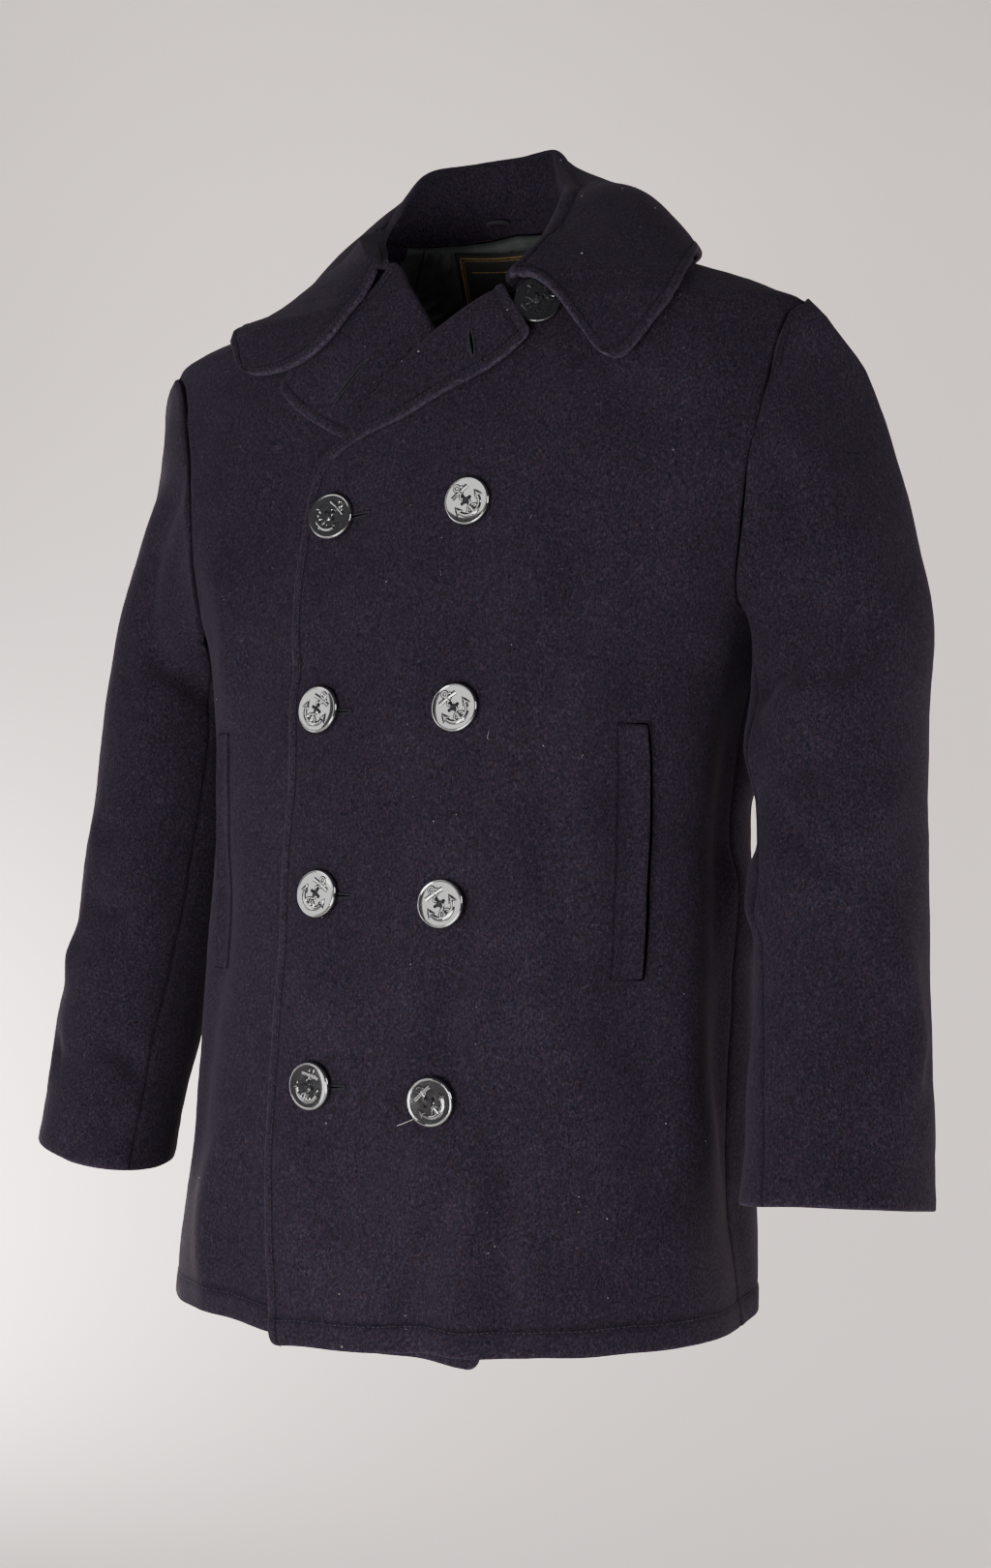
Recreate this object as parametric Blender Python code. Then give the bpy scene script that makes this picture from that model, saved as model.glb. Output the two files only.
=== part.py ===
"""Double-breasted pea coat, filled out as if worn, with nobody in it.

Metres, +Z up, +X to the wearer's left, -Y to the front. The origin is the middle of the neck seam,
where the wearer's neck and shoulders carry the coat. Each piece that a maker would cut and sew is one
closed solid: two fronts with turned-back lapels, one back, a folded collar, two-piece sleeves, pocket
welts, buttons, and the bit of lining, label and hanger loop that show inside the neck.
"""

import math

import bmesh
import bpy
import numpy as np

# Driving dimensions
HEM = -0.745
NECK_LOW = 0.0
CLOTH = 0.003
DOUBLE_CLOTH = 0.0042
GAP = 0.0002
LEVEL_STEP = 0.0025
COLUMN_COUNT = 161

UNDERLAP_INSET = 0.0042
LAPEL_INSET = 0.0042
# A straight line along the left roll line, above which the right front comes back to the form.
ROLL_POINT = (-0.0620, -0.1775)
ROLL_NORMAL = (-0.619, 0.786)

BUTTON_RADIUS = 0.0155
BUTTON_THICKNESS = 0.0038
BUTTON_SEAT = 0.0003
WELT_LENGTH = 0.158
WELT_WIDTH = 0.0185
WELT_TOP = -0.351
WELT_THICKNESS = 0.0026

# The form that the coat is worn on, a row for each height: half width, middle of the depth, front, back,
# the exponent of the section's superellipse, and how far the section stands to the wearer's left.
FORM_SECTIONS = (
    # height, half_width, middle, front, back, exponent, shift
    (0.000, 0.0720, -0.005, -0.045, 0.060, 2.0, 0.000),
    (-0.012, 0.0770, -0.005, -0.050, 0.066, 1.9, 0.000),
    (-0.030, 0.0950, -0.005, -0.059, 0.073, 1.85, 0.004),
    (-0.050, 0.1370, -0.006, -0.068, 0.080, 1.8, 0.011),
    (-0.069, 0.1825, -0.006, -0.075, 0.087, 1.85, 0.014),
    (-0.080, 0.2180, -0.006, -0.079, 0.091, 1.9, 0.003),
    (-0.088, 0.2365, -0.006, -0.082, 0.094, 1.9, 0.000),
    (-0.110, 0.2435, -0.004, -0.088, 0.101, 2.0, 0.000),
    (-0.145, 0.2470, 0.000, -0.094, 0.108, 2.2, 0.000),
    (-0.190, 0.2420, 0.004, -0.100, 0.114, 2.3, 0.000),
    (-0.240, 0.2230, 0.008, -0.104, 0.118, 2.4, -0.001),
    (-0.290, 0.2030, 0.012, -0.108, 0.120, 2.4, -0.002),
    (-0.340, 0.1930, 0.014, -0.115, 0.120, 2.4, -0.003),
    (-0.410, 0.1880, 0.015, -0.121, 0.120, 2.4, -0.004),
    (-0.500, 0.1925, 0.013, -0.128, 0.120, 2.4, -0.005),
    (-0.600, 0.1965, 0.009, -0.136, 0.122, 2.4, -0.0075),
    (-0.745, 0.2045, 0.005, -0.143, 0.124, 2.4, -0.0125),
)

# Each front from hem to neck: its free edge, then roll line, then neckline by x and height (x towards the
# other front is negative), and its side seam, armhole and shoulder seam by share of the half girth and
# height. steps is the count of rows up to this one.
FRONT_LEFT = (
    # edge_x, edge_height, side_share, side_height, steps
    (-0.0745, -0.7455, 1.000, -0.7340, 0),
    (-0.0834, -0.6360, 1.000, -0.6300, 2),
    (-0.0803, -0.4880, 1.000, -0.4800, 3),
    (-0.0785, -0.3800, 1.000, -0.3800, 2),
    (-0.0822, -0.2780, 1.000, -0.2880, 2),
    (-0.0765, -0.2220, 0.872, -0.2770, 2),
    (-0.0620, -0.1775, 0.814, -0.2430, 2),
    (-0.0400, -0.1650, 0.790, -0.1970, 2),
    (-0.0090, -0.1285, 0.811, -0.1650, 2),
    (0.0225, -0.1030, 0.856, -0.1290, 2),
    (0.0450, -0.0890, 0.930, -0.0980, 2),
    (0.0650, -0.0775, 1.000, -0.0880, 1),
    (0.0752, -0.0590, 1.000, -0.0620, 2),
    (0.0805, -0.0460, 1.000, -0.0360, 2),
    (0.0800, -0.0310, 1.000, -0.0100, 2),
)
FRONT_RIGHT = (
    # edge_x, edge_height, side_share, side_height, steps
    (-0.0755, -0.7455, 1.000, -0.7340, 0),
    (-0.0790, -0.6360, 1.000, -0.6300, 2),
    (-0.0800, -0.4880, 1.000, -0.4800, 3),
    (-0.0800, -0.3800, 1.000, -0.3800, 2),
    (-0.0800, -0.2780, 1.000, -0.2880, 2),
    (-0.0740, -0.2220, 0.800, -0.2770, 2),
    (-0.0600, -0.1800, 0.697, -0.2430, 2),
    (-0.0380, -0.1430, 0.664, -0.1970, 2),
    (-0.0180, -0.1065, 0.674, -0.1650, 2),
    (-0.0040, -0.0880, 0.725, -0.1290, 2),
    (0.0110, -0.0690, 0.830, -0.1010, 2),
    (0.0275, -0.0500, 1.000, -0.0880, 1),
    (0.0460, -0.0500, 1.000, -0.0620, 2),
    (0.0650, -0.0430, 1.000, -0.0360, 2),
    (0.0780, -0.0310, 1.000, -0.0100, 2),
)
FRONT_COLUMNS = 15
UNDERARM_ROW = 4
BREAK_ROW = 6
SHOULDER_ROW = 11

BACK = (
    # side_share, side_height, middle_height, steps
    (1.000, -0.7340, -0.7300, 0),
    (1.000, -0.6300, -0.6300, 2),
    (1.000, -0.4800, -0.4800, 3),
    (1.000, -0.3800, -0.3800, 2),
    (1.000, -0.2880, -0.3000, 2),
    (1.105, -0.2770, -0.2720, 2),
    (1.170, -0.2430, -0.2400, 2),
    (1.200, -0.1970, -0.2000, 2),
    (1.195, -0.1650, -0.1680, 2),
    (1.150, -0.1290, -0.1330, 2),
    (1.065, -0.0980, -0.1030, 2),
    (1.000, -0.0880, -0.0880, 1),
    (1.000, -0.0620, -0.0620, 2),
    (1.000, -0.0360, -0.0360, 2),
    (1.000, -0.0100, 0.0000, 2),
)
BACK_HALF_COLUMNS = 11

# Lapels from the break of the roll line up to the gorge: the free edge by x and height, the radius of the
# roll and how far the free edge's face stands off the front.
LAPEL_LEFT = (
    # edge_x, edge_height, roll_radius, edge_lift
    (-0.0610, -0.1795, 0.0032, 0.0034),
    (-0.0310, -0.1665, 0.0036, 0.0040),
    (0.0050, -0.1535, 0.0042, 0.0046),
    (0.0350, -0.1400, 0.0048, 0.0056),
    (0.0640, -0.1275, 0.0054, 0.0072),
    (0.0873, -0.1098, 0.0058, 0.0086),
)
LAPEL_RIGHT = (
    # edge_x, edge_height, roll_radius, edge_lift
    (0.0570, -0.1840, 0.0032, 0.0040),
    (0.0150, -0.1800, 0.0034, 0.0040),
    (-0.0300, -0.1680, 0.0036, 0.0040),
    (-0.0600, -0.1565, 0.0039, 0.0042),
    (-0.0850, -0.1405, 0.0039, 0.0042),
    (-0.1018, -0.1243, 0.0039, 0.0042),
)
LAPEL_ARC_COLUMNS = 5
LAPEL_RUN_COLUMNS = 8

# The collar from the centre back to each front end: how far along the neckline, the crest of the fold, a
# point half way down the leaf, and the leaf's free edge.
COLLAR_LEFT = (
    # place, crest x, y, z, middle x, y, z, edge x, y, z
    (0.000, 0.0000, 0.0610, 0.0555, 0.0000, 0.0830, 0.0180, 0.0000, 0.1020, -0.0360),
    (0.200, 0.0300, 0.0575, 0.0545, 0.0400, 0.0810, 0.0170, 0.0500, 0.1000, -0.0380),
    (0.310, 0.0440, 0.0420, 0.0400, 0.0780, 0.0620, 0.0160, 0.1030, 0.0800, -0.0400),
    (0.420, 0.0600, 0.0170, 0.0190, 0.1050, 0.0330, 0.0090, 0.1480, 0.0400, -0.0400),
    (0.510, 0.0705, -0.0010, 0.0090, 0.1180, 0.0080, 0.0020, 0.1600, 0.0060, -0.0420),
    (0.600, 0.0785, -0.0190, -0.0010, 0.1230, -0.0150, -0.0080, 0.1690, -0.0190, -0.0530),
    (0.700, 0.0805, -0.0340, -0.0180, 0.1250, -0.0360, -0.0280, 0.1740, -0.0400, -0.0660),
    (0.800, 0.0820, -0.0500, -0.0330, 0.1230, -0.0550, -0.0500, 0.1740, -0.0590, -0.0855),
    (0.880, 0.0790, -0.0650, -0.0470, 0.1170, -0.0690, -0.0680, 0.1640, -0.0700, -0.1060),
    (0.940, 0.0730, -0.0750, -0.0580, 0.1080, -0.0790, -0.0770, 0.1500, -0.0800, -0.1275),
    (0.985, 0.0670, -0.0800, -0.0650, 0.0970, -0.0860, -0.0790, 0.1345, -0.0845, -0.1285),
)
COLLAR_RIGHT = (
    # place, crest x, y, z, middle x, y, z, edge x, y, z
    (0.000, 0.0000, 0.0610, 0.0555, 0.0000, 0.0830, 0.0180, 0.0000, 0.1020, -0.0360),
    (0.200, -0.0400, 0.0575, 0.0545, -0.0480, 0.0800, 0.0170, -0.0580, 0.0990, -0.0380),
    (0.310, -0.0640, 0.0430, 0.0480, -0.0840, 0.0580, 0.0080, -0.1060, 0.0740, -0.0450),
    (0.420, -0.0700, 0.0240, 0.0270, -0.1020, 0.0320, 0.0060, -0.1340, 0.0400, -0.0500),
    (0.530, -0.0675, 0.0020, 0.0030, -0.1080, 0.0040, -0.0100, -0.1460, 0.0060, -0.0560),
    (0.640, -0.0620, -0.0140, -0.0110, -0.1070, -0.0180, -0.0270, -0.1500, -0.0170, -0.0640),
    (0.760, -0.0550, -0.0290, -0.0210, -0.1020, -0.0380, -0.0440, -0.1520, -0.0380, -0.0760),
    (0.850, -0.0460, -0.0420, -0.0300, -0.0960, -0.0560, -0.0610, -0.1500, -0.0560, -0.0890),
    (0.910, -0.0400, -0.0520, -0.0370, -0.0880, -0.0680, -0.0760, -0.1480, -0.0640, -0.0940),
    (0.950, -0.0350, -0.0590, -0.0410, -0.0800, -0.0780, -0.0880, -0.1445, -0.0725, -0.1010),
    (0.985, -0.0290, -0.0660, -0.0450, -0.0680, -0.0885, -0.1040, -0.1340, -0.0790, -0.1105),
)
COLLAR_STEPS_A_ROW = 2
FOLD_RADIUS = 0.0056
LEAF_CLEAR = 0.0052
LEAF_LIFT = 0.0052

# The arm, a row for each height: middle, half widths outwards and to the front, and the turn of the ring.
# Above the armhole's lowest point only the outer part of a ring is used.
SLEEVE_RINGS = (
    # height, middle_x, middle_y, half_out, half_front, turn
    (-0.0880, 0.2150, 0.000, 0.0220, 0.0220, 0.0),
    (-0.1000, 0.2184, 0.002, 0.0300, 0.0300, 0.0),
    (-0.1325, 0.2212, 0.021, 0.0460, 0.0460, 0.0),
    (-0.1700, 0.2282, 0.025, 0.0520, 0.0520, 0.0),
    (-0.2100, 0.2390, 0.023, 0.0540, 0.0540, 0.0),
    (-0.2900, 0.2545, 0.019, 0.0550, 0.0560, 0.0),
    (-0.3300, 0.2560, 0.012, 0.0530, 0.0590, 0.0),
    (-0.4000, 0.2590, 0.000, 0.0525, 0.0560, 5.0),
    (-0.4800, 0.2640, -0.013, 0.0530, 0.0530, 15.0),
    (-0.5600, 0.2700, -0.032, 0.0555, 0.0500, 28.0),
    (-0.6435, 0.2750, -0.052, 0.0590, 0.0470, 37.0),
)
CAP_END = -0.330
CUFF = -0.6435
# Degrees that a sleeve's two seams turn towards the body, from the end of the cap to the cuff
SEAM_DRIFT_LEFT = 0.0
SEAM_DRIFT_RIGHT = 29.0
CUFF_TILT_LEFT = (0.0068, -0.0035)
CUFF_TILT_RIGHT = (0.0040, 0.0090)
SEAM_LIFT = 0.0012
SEAM_ROPE = 0.0018
CAP_ROWS = 8
ARM_ROWS = 8
SLEEVE_CLEAR = 0.0020

# Buttons: x and height on the outer face of the front below them.
BUTTONS = (
    # name, x, height
    ("button_1l", -0.0490, -0.2150),
    ("button_2l", -0.0520, -0.3400),
    ("button_3l", -0.0460, -0.4580),
    ("button_4l", -0.0450, -0.5790),
    ("button_1r", 0.0500, -0.2120),
    ("button_2r", 0.0480, -0.3420),
    ("button_3r", 0.0435, -0.4630),
    ("button_4r", 0.0430, -0.5850),
    ("button_top", 0.0870, -0.0870),
)
BUTTON_SEGMENTS = 24

LINING_SHARE = 1.36
LINING_TOP = -0.0080
LINING_BOTTOM = -0.1200
LINING_THICKNESS = 0.0020
LINING_EASE = 0.0011
LABEL_X = (-0.0460, 0.0340)
LABEL_HEIGHTS = (-0.0560, -0.0110)
LABEL_THICKNESS = 0.0010
LOOP_MIDDLE = (-0.0120, 0.0085)
LOOP_HALF = 0.0075
LOOP_OUT = 0.0045
LOOP_FACE = 0.0534
LOOP_SLANT = 0.095
LOOP_RADIUS = 0.0013

# Colours: red, green, blue
WOOL = (0.013, 0.012, 0.022)
BUTTON_BLACK = (0.012, 0.012, 0.014)
SATIN = (0.018, 0.021, 0.022)
LABEL_BLACK = (0.010, 0.009, 0.008)


def clear_scene():
    for obj in list(bpy.data.objects):
        bpy.data.objects.remove(obj)


def material(name, colour, roughness):
    made = bpy.data.materials.new(name)
    made.use_nodes = True
    shader = made.node_tree.nodes["Principled BSDF"]
    shader.inputs["Base Color"].default_value = (*colour, 1.0)
    shader.inputs["Roughness"].default_value = roughness
    shader.inputs["Metallic"].default_value = 0.0
    made.diffuse_color = (*colour, 1.0)
    return made


def slopes(keys, values):
    """Monotone slopes at the rows of a table, so that a curve through them does not overshoot."""
    step = np.diff(keys)[:, None]
    rise = np.diff(values, axis=0) / step
    inner = np.where(rise[:-1] * rise[1:] > 0.0, 2.0 * rise[:-1] * rise[1:] / (rise[:-1] + rise[1:] + 1e-12), 0.0)
    return np.vstack([rise[:1], inner, rise[-1:]])


def smooth_table(keys, values, wanted):
    """The table's columns at the wanted keys, on a smooth curve through its rows."""
    slope = slopes(keys, values)
    index = np.clip(np.searchsorted(keys, wanted, side="right") - 1, 0, len(keys) - 2)
    step = (keys[index + 1] - keys[index])[:, None]
    part = (wanted[:, None] - keys[index][:, None]) / step
    here, there = values[index], values[index + 1]
    rise_here, rise_there = slope[index] * step, slope[index + 1] * step
    return (
        here * (2 * part**3 - 3 * part**2 + 1)
        + rise_here * (part**3 - 2 * part**2 + part)
        + there * (3 * part**2 - 2 * part**3)
        + rise_there * (part**3 - part**2)
    )


def through(rows, count):
    """count points on a smooth curve through the rows, evenly by row number."""
    rows = np.array(rows, float)
    place = np.linspace(0.0, len(rows) - 1.0, count)
    padded = np.vstack([2 * rows[0] - rows[1], rows, 2 * rows[-1] - rows[-2]])
    index = np.clip(place.astype(int), 0, len(rows) - 2)
    part = (place - index)[:, None]
    a, b, c, d = (padded[index + k] for k in range(4))
    return b + 0.5 * part * (
        c - a + part * (2 * a - 5 * b + 4 * c - d + part * (3 * (b - c) + d - a))
    )


def ease(low, high, value):
    part = np.clip((value - low) / (high - low), 0.0, 1.0)
    return part * part * (3.0 - 2.0 * part)


class Form:
    """The worn surface. A place on it is a share of the half girth, 0 at the centre front, 1 at the side
    and 2 at the centre back, negative on the wearer's right, and a height."""

    def __init__(self):
        table = np.array(FORM_SECTIONS)[::-1]
        count = int(round((NECK_LOW - HEM) / LEVEL_STEP)) + 5
        self.levels = HEM - 0.01 + LEVEL_STEP * np.arange(count)
        self.levels = self.levels[self.levels <= NECK_LOW + 1e-9]
        self.levels = np.append(self.levels, NECK_LOW) if self.levels[-1] < NECK_LOW - 1e-6 else self.levels
        clipped = np.clip(self.levels, HEM, NECK_LOW)
        sections = smooth_table(table[:, 0], table[:, 1:], clipped)
        self.shift = sections[:, 5]
        self.shares = np.linspace(0.0, 2.0, COLUMN_COUNT)
        angles = np.linspace(0.0, math.pi, 721)
        self.grid = np.empty((len(self.levels), COLUMN_COUNT, 2))
        self.half_girth = np.empty(len(self.levels))
        for row, (half_width, middle, front, back, exponent, _) in enumerate(sections):
            power = 2.0 / exponent
            depth = np.where(angles < math.pi / 2, middle - front, back - middle)
            x = half_width * np.abs(np.sin(angles)) ** power
            y = middle - np.sign(np.cos(angles)) * depth * np.abs(np.cos(angles)) ** power
            walked = np.append(0.0, np.cumsum(np.hypot(np.diff(x), np.diff(y))))
            side = walked[360]
            share = np.where(walked <= side, walked / side, 1.0 + (walked - side) / (walked[-1] - side))
            self.grid[row, :, 0] = np.interp(self.shares, share, x)
            self.grid[row, :, 1] = np.interp(self.shares, share, y)
            self.half_girth[row] = side

    def flat(self, share, height):
        """x and y at a share and height, read between the grid's points."""
        side = np.where(np.asarray(share) < 0.0, -1.0, 1.0)
        share = np.abs(share)
        over = share > 2.0
        side = np.where(over, -side, side)
        share = np.where(over, 4.0 - share, share)
        row = np.clip((height - self.levels[0]) / LEVEL_STEP, 0.0, len(self.levels) - 1.001)
        column = np.clip(share / 2.0 * (COLUMN_COUNT - 1), 0.0, COLUMN_COUNT - 1.001)
        i, j = row.astype(int), column.astype(int)
        v, u = (row - i)[..., None], (column - j)[..., None]
        g = self.grid
        found = (g[i, j] * (1 - u) + g[i, j + 1] * u) * (1 - v)
        found = found + (g[i + 1, j] * (1 - u) + g[i + 1, j + 1] * u) * v
        return side * found[..., 0] + np.interp(height, self.levels, self.shift), found[..., 1]

    def points(self, share, height, out=0.0):
        """Points on the form, moved out along its normal."""
        share, height = np.broadcast_arrays(np.asarray(share, float), np.asarray(height, float))
        x, y = self.flat(share, height)
        along, up = 0.02, 0.004
        low, high = np.clip(height - up, self.levels[0], None), np.clip(height + up, None, NECK_LOW)
        ax, ay = self.flat(share + along, height)
        bx, by = self.flat(share - along, height)
        cx, cy = self.flat(share, high)
        dx, dy = self.flat(share, low)
        round_it = np.stack([ax - bx, ay - by, np.zeros_like(ax)], -1)
        upward = np.stack([cx - dx, cy - dy, high - low], -1)
        normal = np.cross(round_it, upward)
        normal /= np.linalg.norm(normal, axis=-1, keepdims=True)
        out = np.broadcast_to(np.asarray(out, float), x.shape)[..., None]
        return np.stack([x, y, height], -1) + normal * out

    def share_at(self, x, height):
        """The share on the front half at this x."""
        x, height = np.broadcast_arrays(np.asarray(x, float), np.asarray(height, float))
        x = x - np.interp(height, self.levels, self.shift)
        found = np.empty(x.shape)
        half = (COLUMN_COUNT - 1) // 2 + 1
        for index in np.ndindex(x.shape):
            row = int(np.clip(round((height[index] - self.levels[0]) / LEVEL_STEP), 0, len(self.levels) - 1))
            found[index] = np.interp(abs(x[index]), self.grid[row, :half, 0], self.shares[:half])
        return np.copysign(found, x)

    def gap_share(self, height, metres):
        return metres / np.interp(height, self.levels, self.half_girth)


FORM = Form()


def underlap(x, height):
    """How far the right front lies below the left one."""
    above = ROLL_NORMAL[0] * (x - ROLL_POINT[0]) + ROLL_NORMAL[1] * (height - ROLL_POINT[1])
    over = ease(-0.175, -0.095, x) * (1.0 - ease(0.010, 0.062, above))
    upper = ease(-0.250, -0.195, height)
    return over * (UNDERLAP_INSET + LAPEL_INSET * upper)


def mesh_object(name, bm, finish):
    mesh = bpy.data.meshes.new(name)
    bm.to_mesh(mesh)
    bm.free()
    mesh.shade_smooth()
    mesh.set_sharp_from_angle(angle=math.radians(50))
    made = bpy.data.objects.new(name, mesh)
    made.data.materials.append(finish)
    bpy.data.collections["pea_coat"].objects.link(made)
    return made


def shell(name, outer, inner, finish):
    """A wall of cloth between two sheets of points, seen from outside with columns to the right, rows up."""
    rows, columns = outer.shape[:2]
    bm = bmesh.new()
    sheets = [[[bm.verts.new(p) for p in row] for row in sheet.tolist()] for sheet in (outer, inner)]
    front, rear = sheets
    for r in range(rows - 1):
        for c in range(columns - 1):
            bm.faces.new((front[r][c], front[r][c + 1], front[r + 1][c + 1], front[r + 1][c]))
            bm.faces.new((rear[r][c], rear[r + 1][c], rear[r + 1][c + 1], rear[r][c + 1]))
    rim = [(0, c) for c in range(columns)]
    rim += [(r, columns - 1) for r in range(1, rows)]
    rim += [(rows - 1, c) for c in range(columns - 2, -1, -1)]
    rim += [(r, 0) for r in range(rows - 2, 0, -1)]
    for (r, c), (s, d) in zip(rim, rim[1:] + rim[:1]):
        bm.faces.new((front[s][d], front[r][c], rear[r][c], rear[s][d]))
    return mesh_object(name, bm, finish)


def sheet_normals(points):
    """Unit normals of a sheet of points, from the differences to its neighbours."""
    along = np.gradient(points, axis=1)
    up = np.gradient(points, axis=0)
    normal = np.cross(along, up)
    return normal / np.linalg.norm(normal, axis=-1, keepdims=True)


def spaced_rows(table, steps):
    """The table's rows with steps rows between them, on a smooth curve."""
    place = [0.0]
    for index, count in enumerate(steps[1:]):
        place += [index + (k + 1) / count for k in range(count)]
    place = np.array(place)
    keys = np.arange(len(table), dtype=float)
    return smooth_table(keys, np.array(table, float), place)


def row_of(table, row):
    """The place of a table's row among the spaced rows."""
    return int(sum(entry[-1] for entry in table[: row + 1]))


def front_grid(table, side):
    """Share and height of each point of a front, columns from the free edge to the side."""
    table = np.array(table)
    rows = spaced_rows(table[:, :4], table[:, 4].astype(int))
    edge_share = side * FORM.share_at(side * rows[:, 0], rows[:, 1])
    side_share = rows[:, 2] - FORM.gap_share(rows[:, 3], GAP)
    part = np.linspace(0.0, 1.0, FRONT_COLUMNS)[None, :]
    share = edge_share[:, None] * (1 - part) + side_share[:, None] * part
    fall = (1 - part) ** (1.0 + ease(-0.50, -0.60, rows[:, 3])[:, None])
    height = rows[:, 1][:, None] * fall + rows[:, 3][:, None] * (1 - fall)
    return side * share, np.minimum(height, NECK_LOW)


def front_points(side, out=0.0):
    """Points on a front's outer face, or moved out from it."""
    share, height = front_grid(FRONT_LEFT if side > 0 else FRONT_RIGHT, side)
    if side > 0:
        return FORM.points(share, height, out)
    x = FORM.points(share, height)[..., 0]
    return FORM.points(share, height, out - underlap(x, height))


def back_grid():
    table = np.array(BACK)
    rows = spaced_rows(table[:, :3], table[:, 3].astype(int))
    side_share = rows[:, 0] + FORM.gap_share(rows[:, 1], GAP)
    part = np.linspace(0.0, 1.0, BACK_HALF_COLUMNS)[None, :]
    share = side_share[:, None] * (1 - part) + 2.0 * part
    height = rows[:, 1][:, None] * (1 - part) + rows[:, 2][:, None] * part
    return share, height


def make_front(name, side, finish):
    outer, inner = front_points(side), front_points(side, -CLOTH)
    if side < 0:
        outer, inner = outer[:, ::-1], inner[:, ::-1]
    return shell(name, outer, inner, finish)


def make_back(finish):
    share, height = back_grid()
    share = np.hstack([share, 4.0 - share[:, -2::-1]])
    height = np.hstack([height, height[:, -2::-1]])
    return shell("back", FORM.points(share, height), FORM.points(share, height, -CLOTH), finish)


def lapel_sheets(side):
    """Both faces of a lapel: round the roll from inside the front, then over it to the free edge."""
    front, table = (FRONT_LEFT, LAPEL_LEFT) if side > 0 else (FRONT_RIGHT, LAPEL_RIGHT)
    steps = np.array(front)[BREAK_ROW : SHOULDER_ROW + 1, 4].astype(int)
    rows = spaced_rows(table, steps)
    edge_x, edge_z, radius, lift = rows.T
    first, last = row_of(front, BREAK_ROW), row_of(front, SHOULDER_ROW) + 1
    grid_share, grid_height = front_grid(front, side)
    roll_share, roll_z = grid_share[first:last, 0], grid_height[first:last, 0]
    roll = front_points(side)[first:last, 0]
    normal = FORM.points(roll_share, roll_z, 1.0) - FORM.points(roll_share, roll_z)
    along = np.gradient(roll, axis=0)
    away = -side * np.cross(along, normal)
    away /= np.linalg.norm(away, axis=-1, keepdims=True)
    middle = roll + normal * (radius - CLOTH)[:, None] + away * 3 * GAP
    outer, inner = [], []
    for angle in np.linspace(0.0, math.pi, LAPEL_ARC_COLUMNS):
        turn = -normal * math.cos(angle) + away * math.sin(angle)
        outer.append(middle + turn * radius[:, None])
        inner.append(middle + turn * (radius - CLOTH)[:, None])
    crest = 2 * radius - CLOTH
    edge_share = FORM.share_at(edge_x, edge_z)
    for part in np.linspace(0.0, 1.0, LAPEL_RUN_COLUMNS + 1)[1:]:
        share = roll_share * (1 - part) + edge_share * part
        height = roll_z * (1 - part) + edge_z * part
        x = FORM.points(share, height)[:, 0]
        out = crest * (1 - ease(0.0, 1.0, part)) + lift * ease(0.0, 1.0, part)
        out = out - (underlap(x, height) if side < 0 else 0.0)
        outer.append(FORM.points(share, height, out))
        inner.append(FORM.points(share, height, out - CLOTH))
    outer, inner = np.stack(outer, axis=1), np.stack(inner, axis=1)
    return (outer, inner) if side > 0 else (outer[:, ::-1], inner[:, ::-1])


def make_lapel(name, side, finish):
    outer, inner = lapel_sheets(side)
    return shell(name, outer, inner, finish)


def push_out(points, clear):
    """Points moved out of the form's way, at least clear from it."""
    table = np.array(FORM_SECTIONS)[::-1]

    def depth(p):
        section = smooth_table(table[:, 0], table[:, 1:], np.clip(p[:, 2], HEM, NECK_LOW))
        half_width, middle, front, back, exponent, shift = section.T
        half_depth = np.where(p[:, 1] < middle, middle - front, back - middle)
        near = (np.abs(p[:, 0] - shift) / half_width) ** exponent + (np.abs(p[:, 1] - middle) / half_depth) ** exponent
        return near ** (1.0 / exponent) - 1.0

    flat = points.reshape(-1, 3).copy()
    clear = np.broadcast_to(clear, points.shape[:-1]).reshape(-1)
    for _ in range(6):
        small = 0.0005
        value = depth(flat)
        slope = np.stack([(depth(flat + small * axis) - value) / small for axis in np.eye(3)], -1)
        size = np.linalg.norm(slope, axis=1)
        near = value / np.maximum(size, 1e-9)
        move = np.where(flat[:, 2] < 0.012, np.maximum(clear - near, 0.0), 0.0)
        flat += slope / size[:, None] * move[:, None]
    return flat.reshape(points.shape)


def neckline(side):
    """Points of the neckline from the centre back to the top of a roll line, and the form's normals."""
    share, height = back_grid()
    front_share, front_height = front_grid(FRONT_LEFT if side > 0 else FRONT_RIGHT, side)
    roll_top = row_of(FRONT_LEFT, SHOULDER_ROW)
    share = np.concatenate([side * share[-1, ::-1], front_share[-1, ::-1], front_share[-2 : roll_top - 1 : -1, 0]])
    height = np.concatenate([height[-1, ::-1], front_height[-1, ::-1], front_height[-2 : roll_top - 1 : -1, 0]])
    points = FORM.points(share, height)
    if side < 0:
        points = FORM.points(share, height, -underlap(points[:, 0], height))
    return points, FORM.points(share, height, 1.0) - FORM.points(share, height)


def unit(vectors):
    return vectors / np.linalg.norm(vectors, axis=-1, keepdims=True)


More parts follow.
